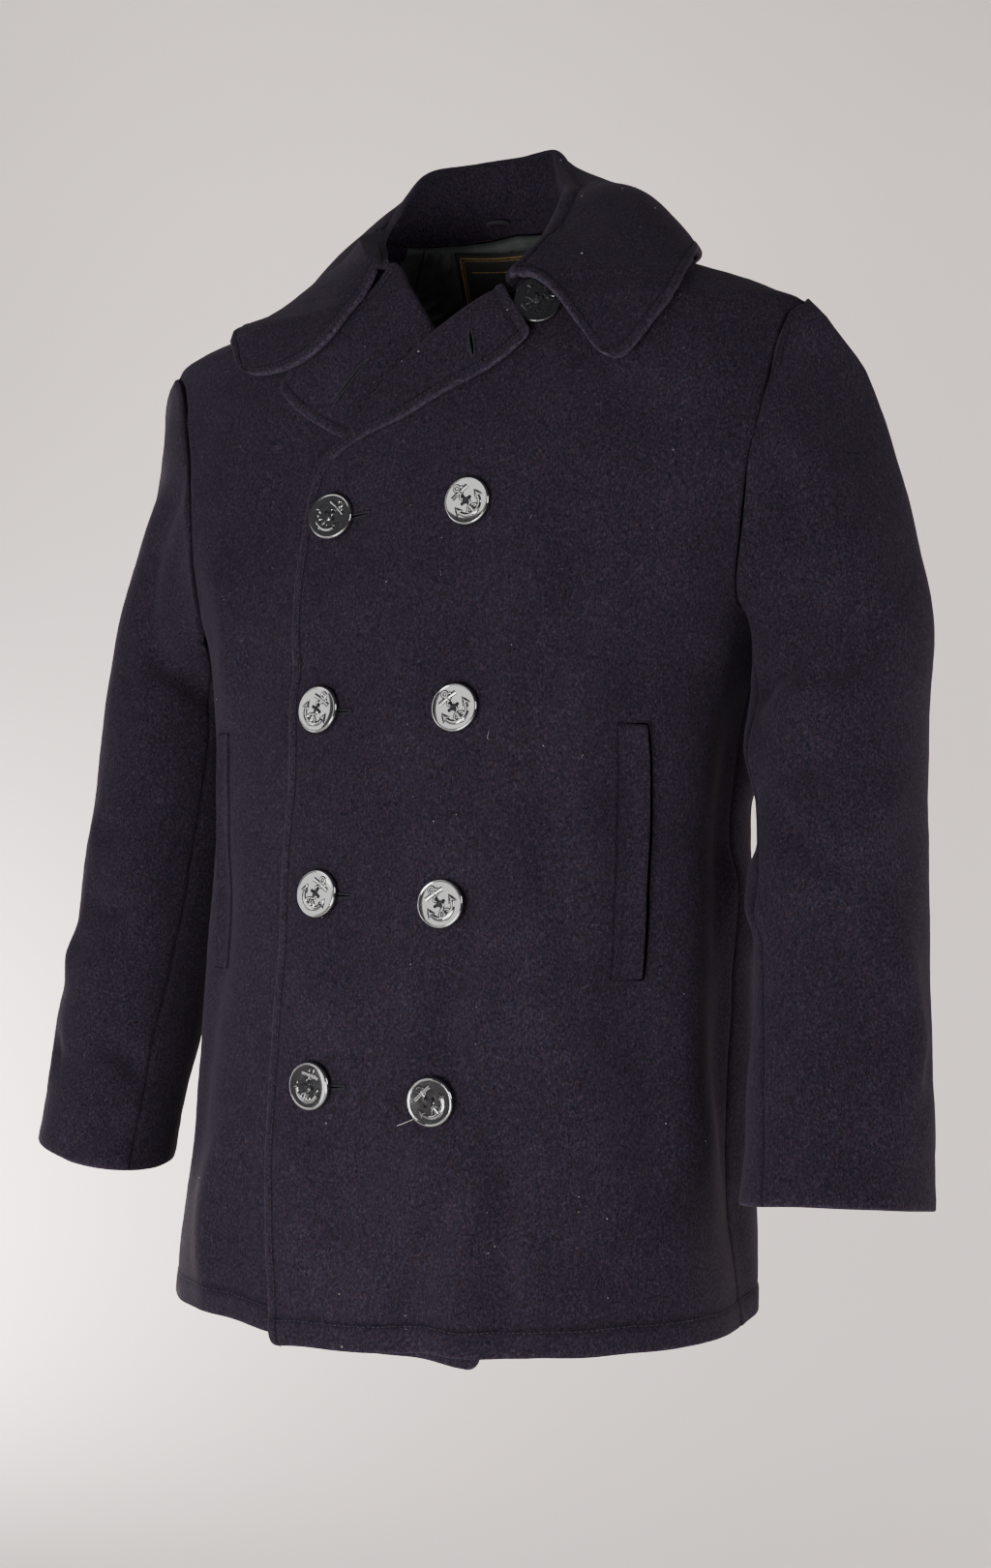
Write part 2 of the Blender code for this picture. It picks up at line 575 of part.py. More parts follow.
def collar_half(table, side):
    """Sections of the collar's visible face from the centre back to one front end: up the inside of the
    stand, over the fold and down the leaf."""
    count = (len(table) - 1) * COLLAR_STEPS_A_ROW + 1
    rows = through(table, count)
    line, normals = neckline(side)
    walked = np.append(0.0, np.cumsum(np.linalg.norm(np.diff(line, axis=0), axis=1)))
    wanted = rows[:, 0] * walked[-1]
    seam = np.stack([np.interp(wanted, walked, line[:, k]) for k in range(3)], -1)
    normal = unit(np.stack([np.interp(wanted, walked, normals[:, k]) for k in range(3)], -1))
    crest, middle, edge = rows[:, 1:4], rows[:, 4:7], rows[:, 7:10]
    up = unit(crest - seam)
    out = middle - crest
    out = unit(out - up * np.sum(out * up, axis=1, keepdims=True))
    lean = np.maximum(0.0, -np.sum(normal * up, axis=1, keepdims=True))
    foot = seam + up * (4 * GAP + lean * CLOTH) - out * DOUBLE_CLOTH * 1.05
    centre = crest - up * FOLD_RADIUS
    columns = [foot, foot * 0.5 + (centre - out * FOLD_RADIUS) * 0.5]
    behind = [column + out * DOUBLE_CLOTH for column in columns]
    for angle in np.linspace(0.0, math.pi * 0.9, 5):
        turn = up * math.sin(angle) - out * math.cos(angle)
        columns.append(centre + turn * FOLD_RADIUS)
        behind.append(centre + turn * (FOLD_RADIUS - DOUBLE_CLOTH))
    last = columns[-1]
    for part in (0.2, 0.4, 0.6, 0.8, 1.0):
        bow = last * (1 - part) ** 2 + edge * part**2
        bow = bow + (2 * middle - 0.5 * (last + edge)) * 2 * part * (1 - part)
        columns.append(bow)
    return np.stack(columns, axis=1), np.stack(behind, axis=1)


def collar_sheets():
    left, left_behind = collar_half(COLLAR_LEFT, 1.0)
    right, right_behind = collar_half(COLLAR_RIGHT, -1.0)
    sheet = np.vstack([right[::-1], left[1:]])
    behind = np.vstack([right_behind[::-1], left_behind[1:]])
    leaf = sheet[:, 6:]
    station = np.abs(np.linspace(-1.0, 1.0, len(sheet)))[:, None]
    part = np.linspace(0.0, 1.0, leaf.shape[1])[None, :]
    sheet[:, 6:] = push_out(leaf, LEAF_CLEAR + LEAF_LIFT * ease(0.6, 0.95, station) * (1 - 0.3 * part))
    # Seen from outside the leaf, the rows run up to the seam and the columns to the right front end.
    sheet = sheet.transpose(1, 0, 2)[::-1, ::-1]
    inner = sheet - sheet_normals(sheet) * DOUBLE_CLOTH
    inner[-6:] = behind.transpose(1, 0, 2)[::-1, ::-1][1:]
    return sheet, inner


def make_collar(finish):
    outer, inner = collar_sheets()
    return shell("collar", outer, inner, finish)


def armhole(side):
    """Points of the armhole from the shoulder tip down the front, under the arm and up the back, with the
    form's normals, at the corners of the panels' own edges."""
    first, last = row_of(FRONT_LEFT, UNDERARM_ROW), row_of(FRONT_LEFT, SHOULDER_ROW)
    front_share, front_height = front_grid(FRONT_LEFT if side > 0 else FRONT_RIGHT, side)
    back_share, back_height = back_grid()
    share = [side, *front_share[last - 1 : first : -1, -1], side, *(side * back_share[first + 1 : last, 0])]
    height = [front_height[last, -1], *front_height[last - 1 : first : -1, -1]]
    height += [front_height[first, -1], *back_height[first + 1 : last, 0]]
    share, height = np.array(share), np.array(height)
    normal = FORM.points(share, height, 1.0) - FORM.points(share, height)
    return FORM.points(share, height, -CLOTH * 0.6), normal


def sleeve_sheets(side):
    """Both faces of the sleeve: rows from the armhole to the cuff, columns from the outer side round by
    the front, under the arm and up the back."""
    level, normal = armhole(side)
    count = len(level)
    around = np.roll(level, -1, axis=0) - np.roll(level, 1, axis=0)
    inward = side * unit(np.cross(normal, around))
    angles = np.linspace(0.0, 2 * math.pi, count, endpoint=False)
    table = np.array(SLEEVE_RINGS)[::-1]
    front_tilt, outer_tilt = CUFF_TILT_LEFT if side > 0 else CUFF_TILT_RIGHT
    rise = (CLOTH * 0.6 + SEAM_LIFT + SEAM_ROPE * np.abs(np.cos(angles)))[:, None]

    def round_arm(heights):
        seam_drift = SEAM_DRIFT_LEFT if side > 0 else SEAM_DRIFT_RIGHT
        return angles + math.radians(seam_drift) * np.clip((CAP_END - heights) / (CAP_END - CUFF), 0.0, 1.0)

    def ring(heights, deep):
        mx, my, out, front, turn = smooth_table(table[:, 0], table[:, 1:], heights).T
        turn, here = np.radians(turn), round_arm(heights)
        a, b = (out - deep) * np.cos(here), -(front - deep) * np.sin(here)
        x = mx + a * np.cos(turn) - b * np.sin(turn)
        y = my + a * np.sin(turn) + b * np.cos(turn)
        return np.stack([side * x, y, heights], -1)

    outer, inner = [], []
    for deep, rows in ((0.0, outer), (CLOTH, inner)):
        start = level + inward * (3.5 * GAP + deep)
        lifted = start + normal * rise
        away = lifted - ring(lifted[:, 2], deep)
        rows.append(start)
        for part in np.linspace(0.0, 1.0, CAP_ROWS)[:-1]:
            heights = lifted[:, 2] * (1 - part) + CAP_END * part
            rows.append(ring(heights, deep) + away * (1 - part) ** 2)
        for part in np.linspace(0.0, 1.0, ARM_ROWS + 1):
            row = ring(np.full(count, CAP_END * (1 - part) + CUFF * part), deep)
            here = round_arm(row[:, 2])
            row[:, 2] += (front_tilt * np.sin(here) + outer_tilt * np.cos(here)) * ease(0.3, 1.0, part)
            rows.append(row)
    outer, inner = np.array(outer), np.array(inner)
    moved = push_out(outer[2:], SLEEVE_CLEAR) - outer[2:]
    outer[2:] += moved
    inner[2:] += moved
    return outer, inner


def make_sleeve(side_name, side, finish):
    sheet, inner = sleeve_sheets(side)
    count = sheet.shape[1]
    front_seam, back_seam = round(count * 0.42), round(count * 0.80)
    upper = [c % count for c in range(back_seam, count + front_seam + 1)]
    under = list(range(front_seam, back_seam + 1))
    for name, columns in (("sleeve_upper", upper), ("sleeve_under", under)):
        pair = []
        for face in (sheet, inner):
            strip = face[:, columns].copy()
            for end, next_in in ((0, 1), (-1, -2)):
                strip[:, end] += unit(sheet[:, columns[next_in]] - sheet[:, columns[end]]) * GAP * 1.5
            pair.append(strip if side > 0 else strip[:, ::-1])
        shell(f"{name}_{side_name}", pair[0], pair[1], finish)


def make_button(name, x, height, finish):
    share = FORM.share_at(x, height)
    foot, tip = FORM.points(share, height, BUTTON_SEAT), FORM.points(share, height, 1.0)
    normal = unit(tip - foot)
    across = unit(np.cross([0.0, 0.0, 1.0], normal))
    up = np.cross(normal, across)
    rings = ((0.0147, 0.0), (BUTTON_RADIUS, 0.0008), (BUTTON_RADIUS, 0.0030), (0.0148, BUTTON_THICKNESS))
    angles = np.linspace(0.0, 2 * math.pi, BUTTON_SEGMENTS, endpoint=False)
    bm = bmesh.new()
    loops = []
    for radius, out in rings:
        ring = foot + normal * out + radius * (np.cos(angles)[:, None] * across + np.sin(angles)[:, None] * up)
        loops.append([bm.verts.new(p) for p in ring.tolist()])
    bm.faces.new(loops[0][::-1])
    for low, high in zip(loops, loops[1:]):
        for k in range(BUTTON_SEGMENTS):
            n = (k + 1) % BUTTON_SEGMENTS
            bm.faces.new((low[k], low[n], high[n], high[k]))
    bm.faces.new(loops[-1])
    return mesh_object(name, bm, finish)


def make_lining(finish):
    share = np.linspace(LINING_SHARE, 4.0 - LINING_SHARE, 21)[None, :]
    height = np.linspace(LINING_BOTTOM, LINING_TOP, 9)[:, None]
    out = -CLOTH - LINING_EASE
    share, height = np.broadcast_arrays(share, height)
    outer, inner = FORM.points(share, height, out), FORM.points(share, height, out - LINING_THICKNESS)
    return shell("back_lining", outer, inner, finish)


def make_label(finish):
    heights = np.linspace(*LABEL_HEIGHTS, 5)
    x = np.linspace(LABEL_X[1], LABEL_X[0], 9)
    share = np.empty((5, 9))
    wide = np.linspace(1.2, 2.8, 321)
    for row, height in enumerate(heights):
        found = FORM.points(wide, np.full(321, height))[:, 0]
        share[row] = np.interp(-x, -found, wide)
    height = np.broadcast_to(heights[:, None], share.shape)
    out = -CLOTH - LINING_EASE - LINING_THICKNESS - 2 * GAP
    outer, inner = FORM.points(share, height, out), FORM.points(share, height, out - LABEL_THICKNESS)
    return shell("label", outer, inner, finish)


def make_loop(finish):
    """A short cord across the stand above the middle of the neck seam, its ends against the cloth."""
    x, z = LOOP_MIDDLE
    angles = np.linspace(0.0, math.pi, 9)
    across = LOOP_HALF * np.cos(angles)
    deep = LOOP_FACE + LOOP_SLANT * across - LOOP_OUT * np.sin(angles)
    path = np.stack([x + across, deep, np.full(9, z)], -1)
    along = unit(np.gradient(path, axis=0))
    up = np.array([0.0, 0.0, 1.0])
    side = np.cross(along, up)
    turns = np.linspace(0.0, 2 * math.pi, 8, endpoint=False)
    bm = bmesh.new()
    loops = []
    for point, flat in zip(path, side):
        ring = point + LOOP_RADIUS * (np.cos(turns)[:, None] * flat + np.sin(turns)[:, None] * up)
        loops.append([bm.verts.new(p) for p in ring.tolist()])
    bm.faces.new(loops[0])
    for low, high in zip(loops, loops[1:]):
        for k in range(8):
            n = (k + 1) % 8
            bm.faces.new((low[n], low[k], high[k], high[n]))
    bm.faces.new(loops[-1][::-1])
    bmesh.ops.recalc_face_normals(bm, faces=bm.faces)
    return mesh_object("hanger_loop", bm, finish)


def make_welt(side_name, side, finish):
    heights = np.linspace(WELT_TOP - WELT_LENGTH, WELT_TOP, 7)
    part = np.linspace(0.0, 1.0, 4)[None, :]
    inner_x = np.interp(heights, [WELT_TOP - WELT_LENGTH, WELT_TOP], [0.1435, 0.1440])
    share = FORM.share_at(side * inner_x, heights)[:, None]
    share = share + side * FORM.gap_share(heights, WELT_WIDTH)[:, None] * part
    height = np.broadcast_to(heights[:, None], share.shape)
    if side < 0:
        share, height = share[:, ::-1], height[:, ::-1]
    down = underlap(FORM.points(share, height)[..., 0], height) if side < 0 else 0.0
    outer = FORM.points(share, height, 3 * GAP + WELT_THICKNESS - down)
    inner = FORM.points(share, height, 3 * GAP - down)
    shell(f"pocket_welt_{side_name}", outer, inner, finish)


def build():
    clear_scene()
    collection = bpy.data.collections.new("pea_coat")
    bpy.context.scene.collection.children.link(collection)
    wool = material("navy_wool", WOOL, 0.9)
    make_front("front_left", 1, wool)
    make_front("front_right", -1, wool)
    make_back(wool)
    make_lapel("lapel_left", 1, wool)
    make_lapel("lapel_right", -1, wool)
    make_collar(wool)
    for side_name, side in (("left", 1), ("right", -1)):
        make_sleeve(side_name, side, wool)
        make_welt(side_name, side, wool)
    shiny = material("black_button", BUTTON_BLACK, 0.25)
    for name, x, height in BUTTONS:
        make_button(name, x, height, shiny)
    make_lining(material("lining_satin", SATIN, 0.45))
    make_label(material("label_cloth", LABEL_BLACK, 0.8))
    make_loop(material("loop_cord", BUTTON_BLACK, 0.7))


build()
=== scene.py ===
"""Looks of a double-breasted pea coat, filled out as if worn, with nobody in it.

Every cloth piece is drawn again as a thin wall on its solid's form, with rounded edges, topstitching,
soft folds and a napped wool; the buttons get their moulded anchors, holes and thread. Sizes are in
metres, apart from a button's own profile, holes, anchor and thread, which are in millimetres.
"""

import collections
import math
import random

import bmesh
import bpy
import numpy as np
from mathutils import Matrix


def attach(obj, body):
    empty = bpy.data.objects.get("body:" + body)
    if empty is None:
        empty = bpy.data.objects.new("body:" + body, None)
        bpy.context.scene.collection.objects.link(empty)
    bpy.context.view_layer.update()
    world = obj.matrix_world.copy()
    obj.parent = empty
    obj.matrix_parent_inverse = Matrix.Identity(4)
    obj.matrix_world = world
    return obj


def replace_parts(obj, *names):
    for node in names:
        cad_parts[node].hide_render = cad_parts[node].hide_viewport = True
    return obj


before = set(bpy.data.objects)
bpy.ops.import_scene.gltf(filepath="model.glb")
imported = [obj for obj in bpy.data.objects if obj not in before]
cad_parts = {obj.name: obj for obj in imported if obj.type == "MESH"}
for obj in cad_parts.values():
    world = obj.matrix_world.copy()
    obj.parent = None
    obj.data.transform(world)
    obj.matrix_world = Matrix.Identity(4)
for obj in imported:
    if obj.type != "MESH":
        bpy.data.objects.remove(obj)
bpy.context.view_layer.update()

# The coat's driving sizes, in metres, as in its solids
HEM = -0.745
NECK_LOW = 0.0
CLOTH = 0.003
DOUBLE_CLOTH = 0.0042
GAP = 0.0002
SEAM_LAP = 0.0001
FORM_LOW = HEM - 0.01
LEVEL_STEP = 0.0025
COLUMN_COUNT = 161
QUARTER = 360
UNDERLAP_INSET = 0.0042
LAPEL_INSET = 0.0042
ROLL_POINT = (-0.0620, -0.1775)
ROLL_NORMAL = (-0.619, 0.786)
UNDERLAP_X_BAND = (-0.175, -0.095)
ROLL_BAND = (0.010, 0.062)
LAPEL_BAND = (-0.250, -0.195)
BUTTON_RADIUS = 0.0155
BUTTON_SEAT = 0.0003
WELT_LENGTH = 0.158
WELT_WIDTH = 0.0185
WELT_TOP = -0.351
WELT_THICKNESS = 0.0026
WELT_INNER_X = (0.1435, 0.1440)

FORM_SECTIONS = (
    # height, half_width, middle, front, back, exponent, shift
    (0.000, 0.0720, -0.005, -0.045, 0.060, 2.0, 0.000),
    (-0.012, 0.0770, -0.005, -0.050, 0.066, 1.9, 0.000),
    (-0.030, 0.0950, -0.005, -0.059, 0.073, 1.85, 0.004),
    (-0.050, 0.1370, -0.006, -0.068, 0.080, 1.8, 0.011),
    (-0.069, 0.1825, -0.006, -0.075, 0.087, 1.85, 0.014),
    (-0.080, 0.2180, -0.006, -0.079, 0.091, 1.9, 0.003),
    (-0.088, 0.2365, -0.006, -0.082, 0.094, 1.9, 0.000),
    (-0.110, 0.2435, -0.004, -0.088, 0.101, 2.0, 0.000),
    (-0.145, 0.2470, 0.000, -0.094, 0.108, 2.2, 0.000),
    (-0.190, 0.2420, 0.004, -0.100, 0.114, 2.3, 0.000),
    (-0.240, 0.2230, 0.008, -0.104, 0.118, 2.4, -0.001),
    (-0.290, 0.2030, 0.012, -0.108, 0.120, 2.4, -0.002),
    (-0.340, 0.1930, 0.014, -0.115, 0.120, 2.4, -0.003),
    (-0.410, 0.1880, 0.015, -0.121, 0.120, 2.4, -0.004),
    (-0.500, 0.1925, 0.013, -0.128, 0.120, 2.4, -0.005),
    (-0.600, 0.1965, 0.009, -0.136, 0.122, 2.4, -0.0075),
    (-0.745, 0.2045, 0.005, -0.143, 0.124, 2.4, -0.0125),
)
FRONT_LEFT = (
    # edge_x, edge_height, side_share, side_height
    (-0.0745, -0.7455, 1.000, -0.7340),
    (-0.0834, -0.6360, 1.000, -0.6300),
    (-0.0803, -0.4880, 1.000, -0.4800),
    (-0.0785, -0.3800, 1.000, -0.3800),
    (-0.0822, -0.2780, 1.000, -0.2880),
    (-0.0765, -0.2220, 0.872, -0.2770),
    (-0.0620, -0.1775, 0.814, -0.2430),
    (-0.0400, -0.1650, 0.790, -0.1970),
    (-0.0090, -0.1285, 0.811, -0.1650),
    (0.0225, -0.1030, 0.856, -0.1290),
    (0.0450, -0.0890, 0.930, -0.0980),
    (0.0650, -0.0775, 1.000, -0.0880),
    (0.0752, -0.0590, 1.000, -0.0620),
    (0.0805, -0.0460, 1.000, -0.0360),
    (0.0800, -0.0310, 1.000, -0.0100),
)
FRONT_RIGHT = (
    # edge_x, edge_height, side_share, side_height
    (-0.0755, -0.7455, 1.000, -0.7340),
    (-0.0790, -0.6360, 1.000, -0.6300),
    (-0.0800, -0.4880, 1.000, -0.4800),
    (-0.0800, -0.3800, 1.000, -0.3800),
    (-0.0800, -0.2780, 1.000, -0.2880),
    (-0.0740, -0.2220, 0.800, -0.2770),
    (-0.0600, -0.1800, 0.697, -0.2430),
    (-0.0380, -0.1430, 0.664, -0.1970),
    (-0.0180, -0.1065, 0.674, -0.1650),
    (-0.0040, -0.0880, 0.725, -0.1290),
    (0.0110, -0.0690, 0.830, -0.1010),
    (0.0275, -0.0500, 1.000, -0.0880),
    (0.0460, -0.0500, 1.000, -0.0620),
    (0.0650, -0.0430, 1.000, -0.0360),
    (0.0780, -0.0310, 1.000, -0.0100),
)
HEM_CURVE_BAND = (-0.50, -0.60)
UNDERARM_ROW = 4
BREAK_ROW = 6
SHOULDER_ROW = 11
BACK = (
    # side_share, side_height, middle_height
    (1.000, -0.7340, -0.7300),
    (1.000, -0.6300, -0.6300),
    (1.000, -0.4800, -0.4800),
    (1.000, -0.3800, -0.3800),
    (1.000, -0.2880, -0.3000),
    (1.105, -0.2770, -0.2720),
    (1.170, -0.2430, -0.2400),
    (1.200, -0.1970, -0.2000),
    (1.195, -0.1650, -0.1680),
    (1.150, -0.1290, -0.1330),
    (1.065, -0.0980, -0.1030),
    (1.000, -0.0880, -0.0880),
    (1.000, -0.0620, -0.0620),
    (1.000, -0.0360, -0.0360),
    (1.000, -0.0100, 0.0000),
)
LAPEL_LEFT = (
    # edge_x, edge_height, roll_radius, edge_lift
    (-0.0610, -0.1795, 0.0032, 0.0034),
    (-0.0310, -0.1665, 0.0036, 0.0040),
    (0.0050, -0.1535, 0.0042, 0.0046),
    (0.0350, -0.1400, 0.0048, 0.0056),
    (0.0640, -0.1275, 0.0054, 0.0072),
    (0.0873, -0.1098, 0.0058, 0.0086),
)
LAPEL_RIGHT = (
    # edge_x, edge_height, roll_radius, edge_lift
    (0.0570, -0.1840, 0.0032, 0.0040),
    (0.0150, -0.1800, 0.0034, 0.0040),
    (-0.0300, -0.1680, 0.0036, 0.0040),
    (-0.0600, -0.1565, 0.0039, 0.0042),
    (-0.0850, -0.1405, 0.0039, 0.0042),
    (-0.1018, -0.1243, 0.0039, 0.0042),
)
COLLAR_LEFT = (
    # place, crest x, y, z, middle x, y, z, edge x, y, z
    (0.000, 0.0000, 0.0610, 0.0555, 0.0000, 0.0830, 0.0180, 0.0000, 0.1020, -0.0360),
    (0.200, 0.0300, 0.0575, 0.0545, 0.0400, 0.0810, 0.0170, 0.0500, 0.1000, -0.0380),
    (0.310, 0.0440, 0.0420, 0.0400, 0.0780, 0.0620, 0.0160, 0.1030, 0.0800, -0.0400),
    (0.420, 0.0600, 0.0170, 0.0190, 0.1050, 0.0330, 0.0090, 0.1480, 0.0400, -0.0400),
    (0.510, 0.0705, -0.0010, 0.0090, 0.1180, 0.0080, 0.0020, 0.1600, 0.0060, -0.0420),
    (0.600, 0.0785, -0.0190, -0.0010, 0.1230, -0.0150, -0.0080, 0.1690, -0.0190, -0.0530),
    (0.700, 0.0805, -0.0340, -0.0180, 0.1250, -0.0360, -0.0280, 0.1740, -0.0400, -0.0660),
    (0.800, 0.0820, -0.0500, -0.0330, 0.1230, -0.0550, -0.0500, 0.1740, -0.0590, -0.0855),
    (0.880, 0.0790, -0.0650, -0.0470, 0.1170, -0.0690, -0.0680, 0.1640, -0.0700, -0.1060),
    (0.940, 0.0730, -0.0750, -0.0580, 0.1080, -0.0790, -0.0770, 0.1500, -0.0800, -0.1275),
    (0.985, 0.0670, -0.0800, -0.0650, 0.0970, -0.0860, -0.0790, 0.1345, -0.0845, -0.1285),
)
COLLAR_RIGHT = (
    # place, crest x, y, z, middle x, y, z, edge x, y, z
    (0.000, 0.0000, 0.0610, 0.0555, 0.0000, 0.0830, 0.0180, 0.0000, 0.1020, -0.0360),
    (0.200, -0.0400, 0.0575, 0.0545, -0.0480, 0.0800, 0.0170, -0.0580, 0.0990, -0.0380),
    (0.310, -0.0640, 0.0430, 0.0480, -0.0840, 0.0580, 0.0080, -0.1060, 0.0740, -0.0450),
    (0.420, -0.0700, 0.0240, 0.0270, -0.1020, 0.0320, 0.0060, -0.1340, 0.0400, -0.0500),
    (0.530, -0.0675, 0.0020, 0.0030, -0.1080, 0.0040, -0.0100, -0.1460, 0.0060, -0.0560),
    (0.640, -0.0620, -0.0140, -0.0110, -0.1070, -0.0180, -0.0270, -0.1500, -0.0170, -0.0640),
    (0.760, -0.0550, -0.0290, -0.0210, -0.1020, -0.0380, -0.0440, -0.1520, -0.0380, -0.0760),
    (0.850, -0.0460, -0.0420, -0.0300, -0.0960, -0.0560, -0.0610, -0.1500, -0.0560, -0.0890),
    (0.910, -0.0400, -0.0520, -0.0370, -0.0880, -0.0680, -0.0760, -0.1480, -0.0640, -0.0940),
    (0.950, -0.0350, -0.0590, -0.0410, -0.0800, -0.0780, -0.0880, -0.1445, -0.0725, -0.1010),
    (0.985, -0.0290, -0.0660, -0.0450, -0.0680, -0.0885, -0.1040, -0.1340, -0.0790, -0.1105),
)
LAPEL_TOP_ROWS = (
    0.52, 0.44, 0.38, 0.33, 0.29, 0.25, 0.21, 0.17, 0.13, 0.095, 0.065, 0.04, 0.02, 0.01, 0.004, 0.0
)
LAPEL_EVEN_END = 0.6
LAPEL_EVEN_ROWS = 44
LAPEL_SINK = 0.0034
LAPEL_MIN_WIDTH = 0.020
LAPEL_MARGIN = 14
ROLL_COLUMNS = 13
COLLAR_END_PARTS = (0.10, 0.22, 0.36, 0.48, 0.58, 0.66, 0.74, 0.81, 0.87, 0.92, 0.955, 0.98, 0.992)
STAND_COLUMNS = 9
ARC_COLUMNS = 11
FOLD_RADIUS = 0.0056
LEAF_CLEAR = 0.0052
LEAF_LIFT = 0.0052
LEAF_LIFT_BAND = (0.6, 0.95)
LEAF_LIFT_FADE = 0.3
LEAF_START = 14
LEAF_END = 6
COLLAR_MARGIN = 12
COLLAR_STEPS = 9
NECK_POINTS = 31
STAND_DEPTH = 1.05
FOLD_TURN = math.pi * 0.9
SLEEVE_RINGS = (
    # height, middle_x, middle_y, half_out, half_front, turn
    (-0.0880, 0.2150, 0.000, 0.0220, 0.0220, 0.0),
    (-0.1000, 0.2184, 0.002, 0.0300, 0.0300, 0.0),
    (-0.1325, 0.2212, 0.021, 0.0460, 0.0460, 0.0),
    (-0.1700, 0.2282, 0.025, 0.0520, 0.0520, 0.0),
    (-0.2100, 0.2390, 0.023, 0.0540, 0.0540, 0.0),
    (-0.2900, 0.2545, 0.019, 0.0550, 0.0560, 0.0),
    (-0.3300, 0.2560, 0.012, 0.0530, 0.0590, 0.0),
    (-0.4000, 0.2590, 0.000, 0.0525, 0.0560, 5.0),
    (-0.4800, 0.2640, -0.013, 0.0530, 0.0530, 15.0),
    (-0.5600, 0.2700, -0.032, 0.0555, 0.0500, 28.0),
    (-0.6435, 0.2750, -0.052, 0.0590, 0.0470, 37.0),
)
SLEEVE_COLUMNS = 26
FRONT_SEAM = 11
BACK_SEAM = 21
CAP_END = -0.330
CUFF = -0.6435
SEAM_DRIFT_LEFT = 0.0
SEAM_DRIFT_RIGHT = 29.0
CUFF_TILT_LEFT = (0.0068, -0.0035)
CUFF_TILT_RIGHT = (0.0040, 0.0090)
SEAM_LIFT = 0.0012
SEAM_ROPE = 0.0018
SLEEVE_CLEAR = 0.0020
ARMHOLE_DEPTH = CLOTH * 0.6
CAP_INSET = 0.0003
CAP_EDGE_PARTS = (0.0, 0.3, 0.6, 0.85)
CAP_FOLD_ROWS = (0, 12)
CAP_ROWS = 42
ARM_ROWS = 72
CUFF_TILT_BAND = (0.3, 1.0)
BUTTONS = (
    # name, x, height, anchor turn, tilt to the wearer's left, tilt up (degrees)
    ("button_1l", -0.0490, -0.2150, -44.0, 9.0, 7.0),
    ("button_2l", -0.0520, -0.3400, -32.0, 0.0, 0.0),
    ("button_3l", -0.0460, -0.4580, -34.0, 0.0, 0.0),
    ("button_4l", -0.0450, -0.5790, -16.0, 0.0, -4.0),
    ("button_1r", 0.0500, -0.2120, 40.0, 0.0, 0.0),
    ("button_2r", 0.0480, -0.3420, 37.0, 0.0, 0.0),
    ("button_3r", 0.0435, -0.4630, 33.0, 0.0, 0.0),
    ("button_4r", 0.0430, -0.5850, 42.0, 0.0, -4.0),
    ("button_top", 0.0870, -0.0870, -70.0, 9.0, -10.0),
)
LINING_SHARE = 1.36
LINING_TOP = -0.0080
LINING_BOTTOM = -0.1200
LINING_THICKNESS = 0.0020
LINING_EASE = 0.0011
LINING_FACE = CLOTH + LINING_EASE + LINING_THICKNESS
LABEL_X = (-0.0460, 0.0340)
LABEL_HEIGHTS = (-0.0535, -0.0085)
LABEL_THICKNESS = 0.0010
LOOP_MIDDLE = (-0.0120, 0.0085)
LOOP_HALF = 0.0075
LOOP_OUT = 0.0045
LOOP_FACE = 0.0534
LOOP_SLANT = 0.095
LOOP_RADIUS = 0.0013

# What the looks add: the spacing of the points, finer at the edges (the steps are in millimetres)
TINY = 1e-12
STEP = 0.0045
LAPEL_STEP = 0.0030
LEAF_STEP = 0.0032
EDGE_STEPS = (0, 0.15, 0.45, 0.9, 1.5, 2.4, 3.4, 4.4, 5.3, 6.0, 6.5, 7.0, 7.5, 8.0, 8.8, 10.0, 12.0)
SEAM_STEPS = (0, 0.2, 0.5, 0.9, 1.5, 2.4, 4.0)
HEM_STEPS = (0, 0.15, 0.45, 0.9, 1.5, 3.0, 6.0, 10.0, 13.5, 15.3, 16.3, 17.0, 17.7, 18.6, 20.5, 24.0)
CUFF_STEPS = (1.5, 0.9, 0.45, 0.15, 0.0)
CUFF_START = 0.0024
# How the form is probed, and how cloth is pushed off it
LOOK_ROUND = 0.02
LOOK_UP = 0.004
FORM_TOP = 0.012
PROBE = 0.0005
PUSHES = 6

# Stitches, edges and the cloth's unevenness
STITCH_PITCH = 0.0034
STITCH_LENGTH = 0.0025
STITCH_RADIUS = 0.00030
STITCH_SINK = 0.0002
STITCH_COURSE = ((-0.5, -1.0), (-0.3, 1.0), (0.3, 1.0), (0.5, -1.0))
STITCH_IN = 0.0070
HEM_STITCH = 0.0170
FACING = 0.085
SEAM_FACING = 0.030
SEAM_RADIUS = 0.0007
EDGE_ROUNDNESS = 0.44
HEM_STEP = 0.0006
HEM_STEP_BAND = (HEM_STITCH - 0.003, HEM_STITCH + 0.004)
FRONT_CORNER = 0.009
LAPEL_CORNER = 0.006
COLLAR_CORNER = 0.012
STRAY = 0.0007
HEM_STRAY = 0.0013
HEM_STRAY_BAND = (-0.62, -0.74)
SWELL = 0.00055
GRAIN = 0.00010
EDGE_ROUGHNESS = 0.35
